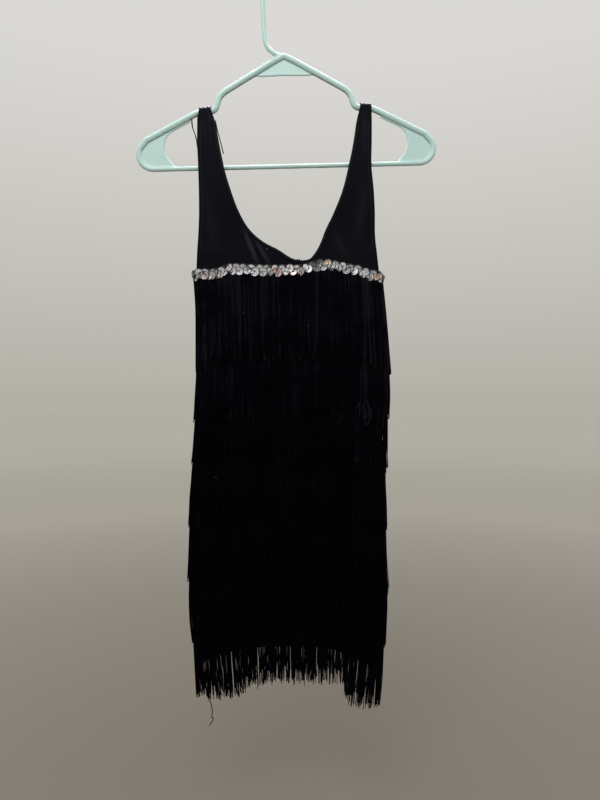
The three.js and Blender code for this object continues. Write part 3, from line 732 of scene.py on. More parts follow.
def frame_route():
    """The closed tube: shoulders, round ends and the bar, narrower along the bar."""
    arms = np.column_stack([shoulder, np.full(len(shoulder), ARM_RADIUS)])
    arms = round_corners(arms, ARM_BEND)
    angle = np.radians(np.linspace(60, -90, 16)[1:])
    turn = np.column_stack([END_CENTRE_X + END_RADIUS * np.cos(angle),
                            END_CENTRE_Z + END_RADIUS * np.sin(angle),
                            np.linspace(ARM_RADIUS, BAR_RADIUS, len(angle))])
    bar_x = np.linspace(120, 0, 5)
    bar = np.column_stack([bar_x, np.full(5, BAR_Z), np.full(5, BAR_RADIUS)])
    right = np.vstack([arms, turn, bar])
    left = right[1:-1][::-1] * (-1, 1, 1)
    return np.vstack([right, left])


def hook_route():
    """The hook, from its foot in the web up and round its bend to the open end."""
    foot = np.array([(8, -110), (-4, -107), (-15, -102), (-23, -94), (-26, -84), (-27.4, -60)], float)
    angle = np.radians(np.linspace(180, HOOK_END, 32))
    bend = np.column_stack([HOOK_FOOT + HOOK_BEND + HOOK_BEND * np.cos(angle),
                            HOOK_RADIUS - HOOK_BEND + HOOK_BEND * np.sin(angle)])
    route = round_corners(np.vstack([foot, bend[:1]]), HOOK_FOOT_BEND)
    route = np.vstack([route, bend[1:]])
    return np.column_stack([route, np.full(len(route), HOOK_RADIUS)])


gusset = [(0, -108), (-42, -130), (-34, -133.5), (34, -133.5), (42, -130)]
hook_web = [(-10, -106), (-11, -112), (-4, -110), (0, -104)]
paddle = np.array([
    (164, -203.5), (167, -214), (171, -224), (171.5, -234), (168, -245), (157, -258),
    (155, -261), (186, -261), (200, -255), (206, -241), (203, -229), (196, -220.6),
])
PADDLE_INNER = slice(1, 7)
lip_start = [(133, -194.6), (160, -208.5)]
LIP_RADIUS = 1.5
# x, z, radius
gusset_lip = np.array([(-45, -132.0, 1.3), (-34, -133.8, 1.6), (0, -132.8, 1.6),
                       (34, -133.8, 1.6), (45, -132.0, 1.3)])


def hanger_parts():
    """Points and faces of every tube and plate of the moulding, before they melt together."""
    lip = np.vstack([lip_start, paddle[PADDLE_INNER]])
    lip = round_corners(np.column_stack([lip, np.full(len(lip), LIP_RADIUS)]), LIP_BEND)
    yield hanger_tube(frame_route(), closed=True)
    yield hanger_tube(hook_route())
    yield hanger_plate(gusset)
    yield hanger_plate(hook_web)
    yield hanger_tube(round_corners(gusset_lip, GUSSET_BEND))
    for mirror in (1, -1):
        yield hanger_plate((paddle * (mirror, 1))[::mirror])
        yield hanger_tube(lip * (mirror, 1, 1))


points, faces = [], []
for part_points, part_faces in hanger_parts():
    faces.extend([tuple(i + len(points) for i in face) for face in part_faces])
    points.extend(part_points)
hanger = weld(new_object("hanger_moulding", points, faces))
melt = hanger.modifiers.new("melt", "REMESH")
melt.mode = "VOXEL"
melt.voxel_size = MOULD_VOXEL
melt.use_smooth_shade = True
soften = hanger.modifiers.new("soften", "SMOOTH")
soften.factor = 0.5
soften.iterations = SMOOTHING_STEPS
apply_modifiers(hanger)
print("hanger", triangles(hanger), "triangles")

# %% [markdown]
# ## Moulded plastic
# The hanger is pale mint polypropylene: an even colour, a satin gloss with the faint mottle of the
# mould, and a little light passing through the thin web. Low subsurface on the shader gives that.
# Under the tubes and along the webs, a narrow band is painted deep green: painted shade for the
# undersides, which the light from above leaves dark. It is finer than the voxels of the skin, so an
# attribute of the mesh tells where it runs.

# %% Plastic material
# painted shade colour for the undersides of the tubes
UNDERSIDE_SHADE_COLOUR = (0.14, 0.25, 0.22)
# in radii of the tube, from its middle line
SHADE_FROM, SHADE_TO, FADE_IN, FADE_OUT = 0.86, 1.24, 0.10, 0.12


def underside(piece, route):
    """1 on a narrow band under the tubes and along the webs, where the painted shade goes, 0 away from
    it.
    """
    count = len(piece.data.vertices)
    placed = np.empty(count * 3)
    piece.data.vertices.foreach_get("co", placed)
    placed = placed.reshape(-1, 3) / MM
    cos, sin = np.cos(HANGER_TILT), np.sin(HANGER_TILT)
    drawn = np.column_stack([placed[:, 0] * cos + placed[:, 2] * sin - HANGER_SHIFT,
                             placed[:, 2] * cos - placed[:, 0] * sin])
    nearest, in_shade = np.full(count, np.inf), np.zeros(count)
    for start, end in zip(route, np.roll(route, -1, axis=0)):
        run = end[:2] - start[:2]
        share = np.clip((drawn - start[:2]) @ run / (run @ run), 0, 1)
        off = drawn - start[:2] - share[:, None] * run
        far = np.hypot(off[:, 0], off[:, 1])
        reach = far / start[2]
        below = smooth_step((-off[:, 1] / np.maximum(far, 0.01) - 0.1) / 0.4)
        here = below * smooth_step((reach - SHADE_FROM) / FADE_IN)
        here *= smooth_step((SHADE_TO - reach) / FADE_OUT)
        closer = far < nearest
        in_shade[closer], nearest[closer] = here[closer], far[closer]
    return in_shade


set_attribute(hanger, "painted_underside_shade", underside(hanger, frame_route()))
plastic, tree, shader = new_material(
    "plastic", 0.34, Subsurface_Weight=0.12, Subsurface_Scale=0.004, Specular_IOR_Level=0.5)
cloud = noise(tree, place_on(tree), 35.0, 3.0)
mint = colour_ramp(tree, cloud, [(0.3, (0.585, 0.835, 0.82)), (0.7, (0.63, 0.875, 0.86))])
# the undersides mix towards the painted shade colour
shaded = mix_colours(tree, attribute(tree, "painted_underside_shade"), mint, UNDERSIDE_SHADE_COLOUR)
tree.links.new(shaded, shader.inputs["Base Color"])
tree.links.new(spread(tree, cloud, 0.28, 0.42), shader.inputs["Roughness"])
raise_relief(tree, shader, noise(tree, place_on(tree), 700.0, 2.0), 0.06, 0.0004)
hanger.data.materials.clear()
hanger.data.materials.append(plastic)
print("plastic ready")

# %% [markdown]
# ## Round the dress
# The trim and each fringe run all the way round. A lap tells where: 0 to 1 across the front from
# left to right, 1 to 2 round the right seam, 2 to 3 across the back and 3 to 4 round the left seam.

# %% Laps and heights of what runs round
LEFT_SHARE = 0.58
TRIM_HALF, TRIM_SCALLOP, TRIM_TO_FRINGE = 8.2, 1.1, 1.4
BACK_TRIM_DROP = 8.0
HEADER_HEIGHT = 6.0
UNDER_TRIM = 6.0
tier_roots = (-500.0, -560.0, -640.0, -716.0, -788.0, -866.0)
TRIM_MIDDLE_X, TRIM_REACH = 3.0, 126.0
SEAM_STEPS = 7
# x, z
trim_line = np.array([
    (-125, -414.7), (-98, -413.4), (-79, -405.6), (-30, -407.8), (22, -407.6),
    (46, -400.4), (60, -400.0), (96, -407.8), (112, -413.5), (133, -418.0),
])


def trim_height(x, side):
    """Middle line of the sequin trim, lower on the back."""
    far = np.clip(np.abs(np.asarray(x) - TRIM_MIDDLE_X) / TRIM_REACH, 0, 1)
    lowered = BACK_TRIM_DROP * (1 - far ** 4)
    return np.interp(x, trim_line[:, 0], trim_line[:, 1]) - np.where(side == BACK, lowered, 0)


def tier_top(tier, x, side):
    """Top edge of a fringe's header. The first is sewn under the trim's lower edge."""
    if tier == 0:
        return trim_height(x, side) - TRIM_HALF - TRIM_SCALLOP - TRIM_TO_FRINGE + UNDER_TRIM
    return np.full(np.shape(x), tier_roots[tier - 1] + HEADER_HEIGHT)


def across(row, along):
    """A place across a section, from 0 at the left seam to 1 at the right one."""
    left = blend(row["left"], NECK_LOW[0], along / LEFT_SHARE)
    right = blend(NECK_LOW[0], row["right"], (along - LEFT_SHARE) / (1 - LEFT_SHARE))
    return np.where(along < LEFT_SHARE, left, right)


def round_point(lap, height_at, out):
    """Points round the dress in metres; height_at gives the height for a place and a side."""
    lap, out = np.broadcast_arrays(np.asarray(lap, float), out)
    quarter = np.floor(lap).astype(int) % 4
    t = lap - np.floor(lap)
    side = np.where(quarter == 2, BACK, FRONT)
    along = np.choose(quarter, [t, np.ones_like(t), 1 - t, np.zeros_like(t)])
    rough = across(section(height_at(np.full(t.shape, NECK_LOW[0]), side)), along)
    z = height_at(rough, side)
    x = across(section(z), along)
    panel = cloth_point(side, x, z, CLOTH_WALL + out)
    seam = cloth_point(FRONT, x, z, -edge_gap(z))
    reach = (edge_gap(z) + CLOTH_WALL + out) * MM
    angle = (t - 0.5) * np.pi
    sideways = np.where(quarter == 1, 1, -1)
    round_seam = seam.copy()
    round_seam[..., 0] += sideways * reach * np.cos(angle)
    round_seam[..., 1] += sideways * reach * np.sin(angle)
    at_seam = (quarter % 2 == 1)[..., None]
    return np.where(at_seam, round_seam, panel)


def laps_round(steps):
    """Laps once round the dress, with a number of steps across each panel."""
    panel, seam = (np.linspace(0, 1, count + 1)[:-1] for count in (steps, SEAM_STEPS))
    return np.concatenate([panel, 1 + seam, 2 + panel, 3 + seam])


def closed_band(laps, tops, bottoms, inner, outer):
    """Points and faces of a closed band round the dress."""
    corners = ((tops, inner), (tops, outer), (bottoms, outer), (bottoms, inner))
    points = np.stack([round_point(laps, height_at, out) for height_at, out in corners], axis=1)
    return points.reshape(-1, 3), grid_faces(len(laps), len(corners), True, True)


print("trim at the middle", float(trim_height(0.0, FRONT)), "mm")

# %% [markdown]
# ## Strands by Geometry Nodes
# Chainette fringe is hundreds of soft cords that hang from a tape. Hair particles would vanish from
# an exported mesh, and curves with a bevel are slow in such numbers. So one thin three-sided strand
# is put on every root point, made real, and then bent: each strand carries its own hang, belly and
# gather as attributes, and Set Position moves every ring of it along them.

# %% Tools made of nodes
def new_tool(name, sockets):
    """A Geometry Nodes tree with named inputs. Returns the tree and its inputs by name."""
    tool = bpy.data.node_groups.new(name, "GeometryNodeTree")
    tool.interface.new_socket(name="Geometry", in_out="INPUT", socket_type="NodeSocketGeometry")
    for socket, kind in sockets.items():
        tool.interface.new_socket(name=socket, in_out="INPUT", socket_type="NodeSocket" + kind)
    tool.interface.new_socket(name="Geometry", in_out="OUTPUT", socket_type="NodeSocketGeometry")
    return tool, add_node(tool, "NodeGroupInput").outputs


def read_attribute(tool, name, data_type="FLOAT_VECTOR"):
    """An attribute of the points, as an output socket."""
    found = add_node(tool, "GeometryNodeInputNamedAttribute", {"Name": name}, data_type=data_type)
    return found.outputs["Attribute"]


def roots_and_band(tool, geometry):
    """Parts the root points from the band that they are sewn to."""
    parted = add_node(tool, "GeometryNodeSeparateGeometry", {
        "Geometry": geometry, "Selection": read_attribute(tool, "is_root", "BOOLEAN")})
    return parted.outputs["Selection"], parted.outputs["Inverted"]


def finish_tool(tool, made, band, used_up, material, smooth=True):
    """Ends a tree: the used attributes go, the band comes back, then shading and material."""
    for name in (*used_up, "is_root"):
        made = add_node(tool, "GeometryNodeRemoveAttribute",
                        {"Geometry": made, "Name": name}).outputs["Geometry"]
    both = add_node(tool, "GeometryNodeJoinGeometry", {"Geometry": made})
    tool.links.new(band, both.inputs["Geometry"])
    shaded = add_node(tool, "GeometryNodeSetShadeSmooth", {
        "Geometry": both.outputs["Geometry"], "Shade Smooth": smooth})
    painted = add_node(tool, "GeometryNodeSetMaterial", {
        "Geometry": shaded.outputs["Geometry"], "Material": material})
    add_node(tool, "NodeGroupOutput", {"Geometry": painted.outputs["Geometry"]})


def store_values(piece, name, data):
    """Stores a switch, a number, a vector or a colour for each point of a mesh."""
    kind, field = {1: ("FLOAT", "value"), 3: ("FLOAT_VECTOR", "vector"),
                   4: ("FLOAT_COLOR", "color")}[data.size // len(data)]
    if data.dtype == bool:
        kind = "BOOLEAN"
    layer = piece.data.attributes.new(name, kind, "POINT")
    layer.data.foreach_set(field, data.ravel())


def run_tool(tool, name, roots, attributes, values, band=None, blanks=None):
    """Runs a tree on root points and a band beside them, and returns a plain mesh object."""
    band_points, band_faces = band or (np.zeros((0, 3)), [])
    carrier = new_object(name + "_carrier", np.vstack([band_points, roots]), band_faces)
    is_root = np.ones(len(roots), bool)
    for key, data in {"is_root": is_root, **attributes}.items():
        blank = np.full((len(band_points), *data.shape[1:]), (blanks or {}).get(key, 0), data.dtype)
        store_values(carrier, key, np.concatenate([blank, data]))
    modifier = carrier.modifiers.new("make", "NODES")
    modifier.node_group = tool
    for item in tool.interface.items_tree:
        if item.in_out == "INPUT" and item.name in values:
            modifier[item.identifier] = values[item.name]
    mesh = finished_mesh(carrier)
    bpy.data.objects.remove(carrier)
    mesh.name = name
    return put_in_scene(name, mesh)


print("tools end in a plain mesh")

# %% [markdown]
# ## A strand that hangs
# Each strand starts as an upright three-sided cylinder at its root. How far down it a ring lies, its
# fall, runs from 0 to 1. The strand's hang is taken in step with the fall, the belly as an arch, and
# the gather faster and faster, so it leans towards its lock only near the end. Drawing each strand as
# a curve of its own would give the same line at many times the cost.

# %% The strand tool
SWAY_TURNS = 7.0

strand_tool, inputs = new_tool("hang_strands", {
    "Radius": "Float", "Steps": "Int", "Sway": "Float", "Seed": "Int", "Material": "Material"})
strand_roots, tape = roots_and_band(strand_tool, inputs["Geometry"])
strand = add_node(strand_tool, "GeometryNodeMeshCylinder", {
    "Vertices": 3, "Side Segments": inputs["Steps"], "Radius": 1.0, "Depth": 1.0})
waver = add_node(strand_tool, "FunctionNodeRandomValue", {
    "Min": (-1, -1, 0), "Max": (1, 1, 0), "Seed": inputs["Seed"]}, data_type="FLOAT_VECTOR")
kept = add_node(strand_tool, "GeometryNodeStoreNamedAttribute", {
    "Geometry": strand_roots, "Name": "waver",
    "Value": waver.outputs["Value"]}, data_type="FLOAT_VECTOR")
placed = add_node(strand_tool, "GeometryNodeInstanceOnPoints", {
    "Points": kept.outputs["Geometry"], "Instance": strand.outputs["Mesh"]})
real = add_node(strand_tool, "GeometryNodeRealizeInstances", {"Geometry": placed.outputs["Instances"]})
root = read_attribute(strand_tool, "root")
position = add_node(strand_tool, "GeometryNodeInputPosition").outputs["Position"]
local = vector_math(strand_tool, "SUBTRACT", position, root)
local_parts = add_node(strand_tool, "ShaderNodeSeparateXYZ", {"Vector": local})
fall = math(strand_tool, "SUBTRACT", 0.5, local_parts.outputs["Z"])
marked = add_node(strand_tool, "GeometryNodeStoreNamedAttribute", {
    "Geometry": real.outputs["Geometry"], "Name": "fall", "Value": fall}, data_type="FLOAT")
fall = read_attribute(strand_tool, "fall", "FLOAT")
rest = math(strand_tool, "SUBTRACT", 1.0, fall)
arch = math(strand_tool, "MULTIPLY", math(strand_tool, "MULTIPLY", fall, rest), 4.0)
squared = math(strand_tool, "MULTIPLY", fall, fall)
swing = math(strand_tool, "SINE", math(strand_tool, "MULTIPLY", fall, SWAY_TURNS))
swing = math(strand_tool, "MULTIPLY", math(strand_tool, "MULTIPLY", swing, fall), inputs["Sway"])
ring = add_node(strand_tool, "ShaderNodeCombineXYZ", {
    "X": local_parts.outputs["X"], "Y": local_parts.outputs["Y"]}).outputs["Vector"]
bend = vector_math(strand_tool, "SCALE", read_attribute(strand_tool, "hang"), fall)
for way, amount in ((read_attribute(strand_tool, "belly"), arch),
                    (read_attribute(strand_tool, "gather"), squared),
                    (read_attribute(strand_tool, "waver"), swing), (ring, inputs["Radius"])):
    bend = vector_math(strand_tool, "ADD", bend, vector_math(strand_tool, "SCALE", way, amount))
bent = add_node(strand_tool, "GeometryNodeSetPosition", {
    "Geometry": marked.outputs["Geometry"], "Position": vector_math(strand_tool, "ADD", root, bend)})
finish_tool(strand_tool, bent.outputs["Geometry"], tape,
            ("root", "hang", "belly", "gather", "waver"), inputs["Material"])
print("strand tool", len(strand_tool.nodes), "nodes")

# %% [markdown]
# ## Rayon chainette
# Chainette is a knitted rayon cord, blacker than the jersey because light is lost between the
# strands. Each strand has its own tone. Combed patches catch more light than ruffled ones, so a wide
# noise lifts and lowers the tones. A cut end frays a little lighter, and a fine wave along each
# strand stands for the chain stitch.

# %% Fringe material
CHAIN_PITCH = 0.0014
FRAYED_FROM, FRAYED = 0.93, (0.03, 0.03, 0.034)

chainette, tree, shader = new_material(
    "chainette", 0.42, Sheen_Weight=0.006, Sheen_Roughness=0.4, Specular_IOR_Level=0.045,
    Specular_Tint=(0.75, 0.72, 1, 1))
combed = spread(tree, noise(tree, place_on(tree), 24.0, 3.0), 0.35, 1.25, 0.38, 0.62)
tone = math(tree, "MULTIPLY", attribute(tree, "tone"), combed)
black = colour_ramp(tree, tone, [(0.0, (0.0005, 0.0004, 0.0012)), (0.5, (0.0024, 0.0020, 0.0052)),
                                 (1.0, (0.0120, 0.0108, 0.0175))])
frayed = spread(tree, attribute(tree, "fall"), 0, 1, FRAYED_FROM, 1.0)
end_share = math(tree, "MULTIPLY", frayed, math(tree, "MINIMUM", tone, 1.0))
tree.links.new(mix_colours(tree, end_share, black, FRAYED), shader.inputs["Base Color"])
chain = bands(tree, place_on(tree), 1 / CHAIN_PITCH / BANDS_PER_UNIT, "Z", Distortion=3.0,
              Detail=1.0, Detail_Scale=2.0)
raise_relief(tree, shader, chain, 0.35, 0.0004)
print("chain stitch every", CHAIN_PITCH / MM, "mm")

# %% [markdown]
# ## Seven rows of fringe
# A row is a woven tape sewn round the dress, with its strands hanging in front. The strands start
# evenly, but they cling and twist into locks of uneven width towards their ends, and between the
# locks of the last row the light comes through. So each strand is given to a lock, and gathers
# towards its middle as it falls.

# %% Locks and lengths of the fringe
FRINGE_LENGTH = 116.0
LOCK_VARIES, LAST_LOCK_VARIES, STRAND_VARIES = 2.6, 1.7, 2.0
FRAY_LONGEST, FRAY = 1.5, 5.5
STRANDS_ACROSS, STRANDS_IN_LAST, STRANDS_AT_SEAM = 330, 400, 28
LAP_CHANCE = 0.0012
LOCK_WIDTHS = (0.012, 0.045)
SEAM_LOCKS = (1.25, 1.5, 1.75, 3.25, 3.5, 3.75, 4.0)
LAST_TIER = len(tier_roots)
# x, how much longer the last row is there
hem_lumps = np.array([
    (-118, -6), (-112, 4), (-100, 9), (-85, 12), (-72, 12), (-60, 6), (-50, 0),
    (40, 1), (70, -5), (86, -9), (89.5, 17), (99, 16), (107, 8), (119, 6), (130, 0),
])
chance = np.random.default_rng(7)


def strand_laps(tier):
    """Laps of a row's strands, evenly spaced but for a little chance."""
    panel = np.linspace(0.002, 0.998, STRANDS_IN_LAST if tier == LAST_TIER else STRANDS_ACROSS)
    seam = np.linspace(0.04, 0.96, STRANDS_AT_SEAM)
    laps = np.concatenate([panel, 1 + seam, 2 + panel, 3 + seam])
    return laps + chance.uniform(-LAP_CHANCE, LAP_CHANCE, len(laps))


def panel_locks(start):
    """Edges of the locks across one panel, which are of uneven width."""
    edges = [start]
    while edges[-1] < start + 1:
        edges.append(edges[-1] + chance.uniform(*LOCK_WIDTHS))
    edges[-1] = start + 1
    return edges


def strand_lengths(tier, laps, lock, locks):
    """How far each strand hangs: its lock's length, its own, and the hem's in the last row."""
    varies = LAST_LOCK_VARIES if tier == LAST_TIER else LOCK_VARIES
    length = FRINGE_LENGTH + chance.normal(0, varies, locks)[lock]
    length += chance.normal(0, STRAND_VARIES, len(laps))
    if tier == 0:
        length += UNDER_TRIM
    if tier == LAST_TIER:
        place = round_point(laps, lambda x, side: tier_top(tier, x, side), 0)[:, 0] / MM
        length += np.interp(place, hem_lumps[:, 0], hem_lumps[:, 1])
        length += FRAY_LONGEST - chance.exponential(FRAY, len(laps))
    return length


print(LAST_TIER + 1, "rows of", FRINGE_LENGTH, "mm")

# %% [markdown]
# ## Tone and partings
# Strands are dyed alike. Each row's tones are painted darker than those of the row above, painted shade
# for the light that falls off down the dress, and a short table paints highlights on the front where a
# fold turns strands to the light. In the last row a few partings push the strands aside, on front and
# back in line with the camera, or no light would come through.

# %% Tones and partings
HEM_PARTINGS = (-96, -71, -37, -11, -1, 7, 43, 57.5, 62.5, 67, 76, 93, 106, 117)
PARTING_HALF, PARTING_REACH, BACK_SPREAD = 0.85, 2.8, 1.033
# each row painted darker than the one above: painted shade for the light falling off down the dress
ROW_PAINTED_LIGHT = (1.5, 0.75, 0.5, 0.38, 0.3, 0.26, 0.3)
# painted highlights where a fold turns strands to the light
# row, x of the middle, half width, tone
painted_gleams = [
    (0, 110.0, 3.8, 2.0), (1, 106.0, 4.0, 2.0), (2, 101.0, 4.5, 0.9), (0, -70.0, 9.0, 0.2),
    (0, 40.0, 7.0, 0.2), (1, -72.0, 8.0, 0.25), (3, 104.0, 5.0, 0.2), (3, -112.0, 5.0, 0.2),
]


def strand_tones(tier, x, in_front):
    """Tone of each strand: random, painted darker row by row as painted shade down the dress, with
    painted highlights where a fold turns strands to the light.
    """
    tones = chance.uniform(0, 1, len(x)) ** 1.4 * ROW_PAINTED_LIGHT[tier]
    for row, middle, half, tone in painted_gleams:
        if row == tier:
            tones += in_front * tone * np.exp(-(((x - middle) / half) ** 2))
    return np.clip(tones, 0, 2)


def stand_aside(x, behind):
    """How far strands of the last row stand aside from the partings, front and back in line."""
    aside = np.zeros(len(x))
    eye = CAMERA_PLACE[0] / MM
    for middle in HEM_PARTINGS:
        off = x - eye - (middle - eye) * np.where(behind, BACK_SPREAD, 1)
        aside += PARTING_HALF * np.sign(off) * np.exp(-((off / PARTING_REACH) ** 2))
    return aside


print(len(HEM_PARTINGS), "partings and", len(painted_gleams), "painted_gleams")

# %% [markdown]
# ## Sew the rows round
# Now each row gets its tape and its strands. A strand's root, middle and tip are asked from the
# dress's surface at their own heights, so it follows the body's curl and stands off it more and more.

# %% Rows of fringe
TAPE_STEPS, TAPE_INNER, TAPE_OUTER = 109, 0.25, 0.8
ROOT_FALL, ROOT_OUT, ROW_DEPTH = 0.4, 1.0, 1.3
STAND_OFF = 0.034
STEADY_SHARE, STEADY_PULL, STEADY_STRAY = 0.04, 0.1, 0.4
LOCK_PULL, LAST_PULL = (0.35, 0.75), (0.0, 0.12)
LOCK_STRAY, STRAND_STRAY = 1.1, 0.5
LOCK_POINT = 3.0
STRAND_RADIUS, STRAND_STEPS, STRAND_SWAY = 0.00058, 9, 0.0011


def make_tier(tier):
    """One row: its tape, and a root, hang, belly and gather for each of its strands."""
    last, laps = tier == LAST_TIER, strand_laps(tier)
    count = len(laps)
    edges = np.sort(np.concatenate([panel_locks(0), panel_locks(2), SEAM_LOCKS]))
    locks = len(edges)
    lock = np.clip(np.searchsorted(edges, laps) - 1, 0, locks - 2)
    middle, width = (edges[lock] + edges[lock + 1]) / 2, edges[lock + 1] - edges[lock]
    length = strand_lengths(tier, laps, lock, locks)
    length -= LOCK_POINT * ((laps - middle) / width * 2) ** 2
    depth = chance.uniform(0, ROW_DEPTH, count)
    quarter, share = np.floor(laps).astype(int) % 4, laps - np.floor(laps)
    at_seam = quarter % 2 == 1
    steady = at_seam | (np.minimum(share, 1 - share) < STEADY_SHARE)
    flare = STAND_OFF * np.where(at_seam, chance.uniform(0.1, 1, count), 1)

    def at(fall, along):
        return round_point(along, lambda x, side: tier_top(tier, x, side) - fall,
                           ROOT_OUT + flare * fall + depth)

    root, tip = at(ROOT_FALL, laps), at(length, laps)
    belly = at(length * 0.5, laps) - (root + tip) / 2
    pulls = chance.uniform(*(LAST_PULL if last else LOCK_PULL), locks)
    pull = np.where(steady, STEADY_PULL, pulls[lock])
    gather = at(length, blend(laps, middle, pull)) - tip
    stray = chance.normal(0, LOCK_STRAY, locks)[lock] + chance.normal(0, STRAND_STRAY, count)
    gather[:, 0] += np.where(steady | last, STEADY_STRAY, 1) * stray * MM
    if last:
        gather[:, 0] += stand_aside(tip[:, 0] / MM, quarter == 2) * MM
    tape = closed_band(laps_round(TAPE_STEPS), lambda x, side: tier_top(tier, x, side),
                       lambda x, side: tier_top(tier, x, side) - HEADER_HEIGHT,
                       TAPE_INNER, TAPE_OUTER)
    attributes = {"tone": strand_tones(tier, root[:, 0] / MM, quarter == 0), "root": root,
                  "hang": tip - root, "belly": belly, "gather": gather}
    return run_tool(strand_tool, f"fringe_row_{tier + 1}", root, attributes,
                    {"Radius": STRAND_RADIUS, "Steps": STRAND_STEPS, "Sway": STRAND_SWAY,
                     "Seed": tier, "Material": chainette}, band=tape)


fringe_rows = [make_tier(tier) for tier in range(LAST_TIER + 1)]
print("fringe", [triangles(row) for row in fringe_rows], "triangles")

# %% [markdown]
# ## Sequin trim
# The trim is bought by the metre: round cupped sequins on a narrow scalloped braid, in two rows that
# overlap like scales, with small ones sewn over the middle. Each big sequin leans on the next one.
# One sequin shape of a few dozen faces is put on every point by Geometry Nodes, turned by an
# attribute and tilted at random from a fixed seed, and its tint is kept as a colour attribute.

# %% Sequin material
# black of the thread, and painted shade on the rims where the sequins overlap
THREAD_AND_RIM_SHADE_COLOUR = (0.04, 0.04, 0.045)

sequin, tree, shader = new_material("sequin_foil", 0.3, Metallic=0.7, Specular_IOR_Level=0.6)
crinkle = noise(tree, place_on(tree), 420.0, 3.0)
rainbow = colour_ramp(tree, crinkle, [
    (0.25, (0.80, 0.84, 0.95)), (0.5, (1.0, 1.0, 1.0)), (0.75, (1.0, 0.90, 0.88))])
dents = noise(tree, place_on(tree), 260.0, 1.0)
dull = colour_ramp(tree, dents, [(0.36, (0.5, 0.5, 0.52)), (0.48, (1.0, 1.0, 1.0))])
foil = vector_math(tree, "MULTIPLY", attribute(tree, "tint", "Color"),
                   vector_math(tree, "MULTIPLY", rainbow, dull))
# rims take painted shade, the thread its black
edged = mix_colours(tree, attribute(tree, "thread_and_rim_shade"), foil, THREAD_AND_RIM_SHADE_COLOUR)
tree.links.new(edged, shader.inputs["Base Color"])
tree.links.new(spread(tree, crinkle, 0.22, 0.42), shader.inputs["Roughness"])
raise_relief(tree, shader, crinkle, 0.3, 0.0006)
print("sequin foil ready")

# %% [markdown]
# ## One sequin
# A sequin is stamped from foil: a shallow cup with a hole in its middle, held by one thread from the
# hole over its edge. Hundreds are needed, so this one has only a few dozen faces. Its rim and thread
# are marked by an attribute and coloured dark. The thread is black, and the dark rim is painted shade
# where the sequins overlap.

# %% The sequin and its tool
SEQUIN_SIDES, THREAD_STEPS, THREAD_HALF = 12, 4, 0.07
SHADED_RIM_FROM = 0.9
# in radians before the tool's own tilt scales them
SPIN, LEAN = 18, 1


def sequin_mesh():
    """A cupped disc of radius 1 with a hole, and the thread from the hole over its edge."""
    rings = [(0.13, 0.02), (0.80, 0.05), (0.92, 0.08), (1.0, 0.06), (0.86, 0.01), (0.13, -0.02)]
    points = [(r * np.cos(a), r * np.sin(a), h) for r, h in rings for a in circle(SEQUIN_SIDES)]
    faces = [tuple(f) for f in grid_faces(len(rings), SEQUIN_SIDES, True, True)]
    first = len(points)
    for t in np.linspace(0, 1, THREAD_STEPS):
        bow = 0.2 * np.sin(np.pi * t)
        points += [(t, bow + w * THREAD_HALF, h + 0.07 * t) for w, h in
                   ((-1, 0.0), (1, 0.0), (1, 0.12), (-1, 0.12))]
    faces += [tuple(i + first for i in face) for face in tube_faces(THREAD_STEPS, 4)]
    return points, faces, first


shape_points, shape_faces, first_of_thread = sequin_mesh()
sequin_shape = new_object("sequin_shape", shape_points, shape_faces, smooth=False)
across_disc = np.hypot(*np.array(shape_points)[:, :2].T)
# marks the rim for painted shade and the thread for its black
set_attribute(sequin_shape, "thread_and_rim_shade",
              (across_disc > SHADED_RIM_FROM) | (np.arange(len(shape_points)) >= first_of_thread))
weld(sequin_shape)

sewing_tool, inputs = new_tool("sew_on", {
    "Shape": "Object", "Tilt": "Float", "Seed": "Int", "Material": "Material"})
sewn_roots, braid = roots_and_band(sewing_tool, inputs["Geometry"])
shape = add_node(sewing_tool, "GeometryNodeObjectInfo", {"Object": inputs["Shape"]})
placed = add_node(sewing_tool, "GeometryNodeInstanceOnPoints", {
    "Points": sewn_roots, "Instance": shape.outputs["Geometry"],
    "Rotation": read_attribute(sewing_tool, "turn"), "Scale": read_attribute(sewing_tool, "width")})
lean = add_node(sewing_tool, "FunctionNodeRandomValue", {
    "Min": (-LEAN, -LEAN, -SPIN), "Max": (LEAN, LEAN, SPIN), "Seed": inputs["Seed"]},
    data_type="FLOAT_VECTOR")
tilted = add_node(sewing_tool, "GeometryNodeRotateInstances", {
    "Instances": placed.outputs["Instances"],
    "Rotation": vector_math(sewing_tool, "SCALE", lean.outputs["Value"], inputs["Tilt"])})
real = add_node(sewing_tool, "GeometryNodeRealizeInstances",
                {"Geometry": tilted.outputs["Instances"]})
finish_tool(sewing_tool, real.outputs["Geometry"], braid, ("turn", "width"), inputs["Material"],
            smooth=False)
print("sewing tool", len(sewing_tool.nodes), "nodes")

# %% [markdown]
# ## Places of the sequins
# A machine sews the two rows evenly, and wear then shifts and turns them. So the places start on an
# even pitch and each gets a little chance. A few sequins that catch the eye, such as the copper ones,
# are placed by a short table. In one patch the tints are painted darker: painted shade where the trim
# would turn its foil away from the light, though the sequins there lie as the others do.

# %% Places and tints of the sequins
SEQUIN_RADIUS, SEQUIN_PITCH = 6.3, 10.2
ROW_OFFSET, ROW_OUT, ROW_STEP_OUT, OUT_CHANCE = 2.0, 1.3, 0.5, 0.5
HEIGHT_CHANCE, RADIUS_CHANCE, LAP_SHIFT, TINT_CHANCE = 0.7, (0.86, 1.1), 0.0025, (0.92, 1.15)
SMALL_HEIGHTS, SMALL_RADII, SMALL_OUTS = 2.2, (2.3, 3.2), (2.5, 3.0)
SEQUINS_LOWER = 0.9
SIDE_LENGTH = 252.0

tints = np.array([
    (0.66, 0.67, 0.69), (0.76, 0.77, 0.79), (0.54, 0.55, 0.57), (0.90, 0.91, 0.92),
    (0.72, 0.64, 0.65), (0.61, 0.66, 0.73),
])
TINT_SHARES = (0.28, 0.26, 0.14, 0.14, 0.10, 0.08)
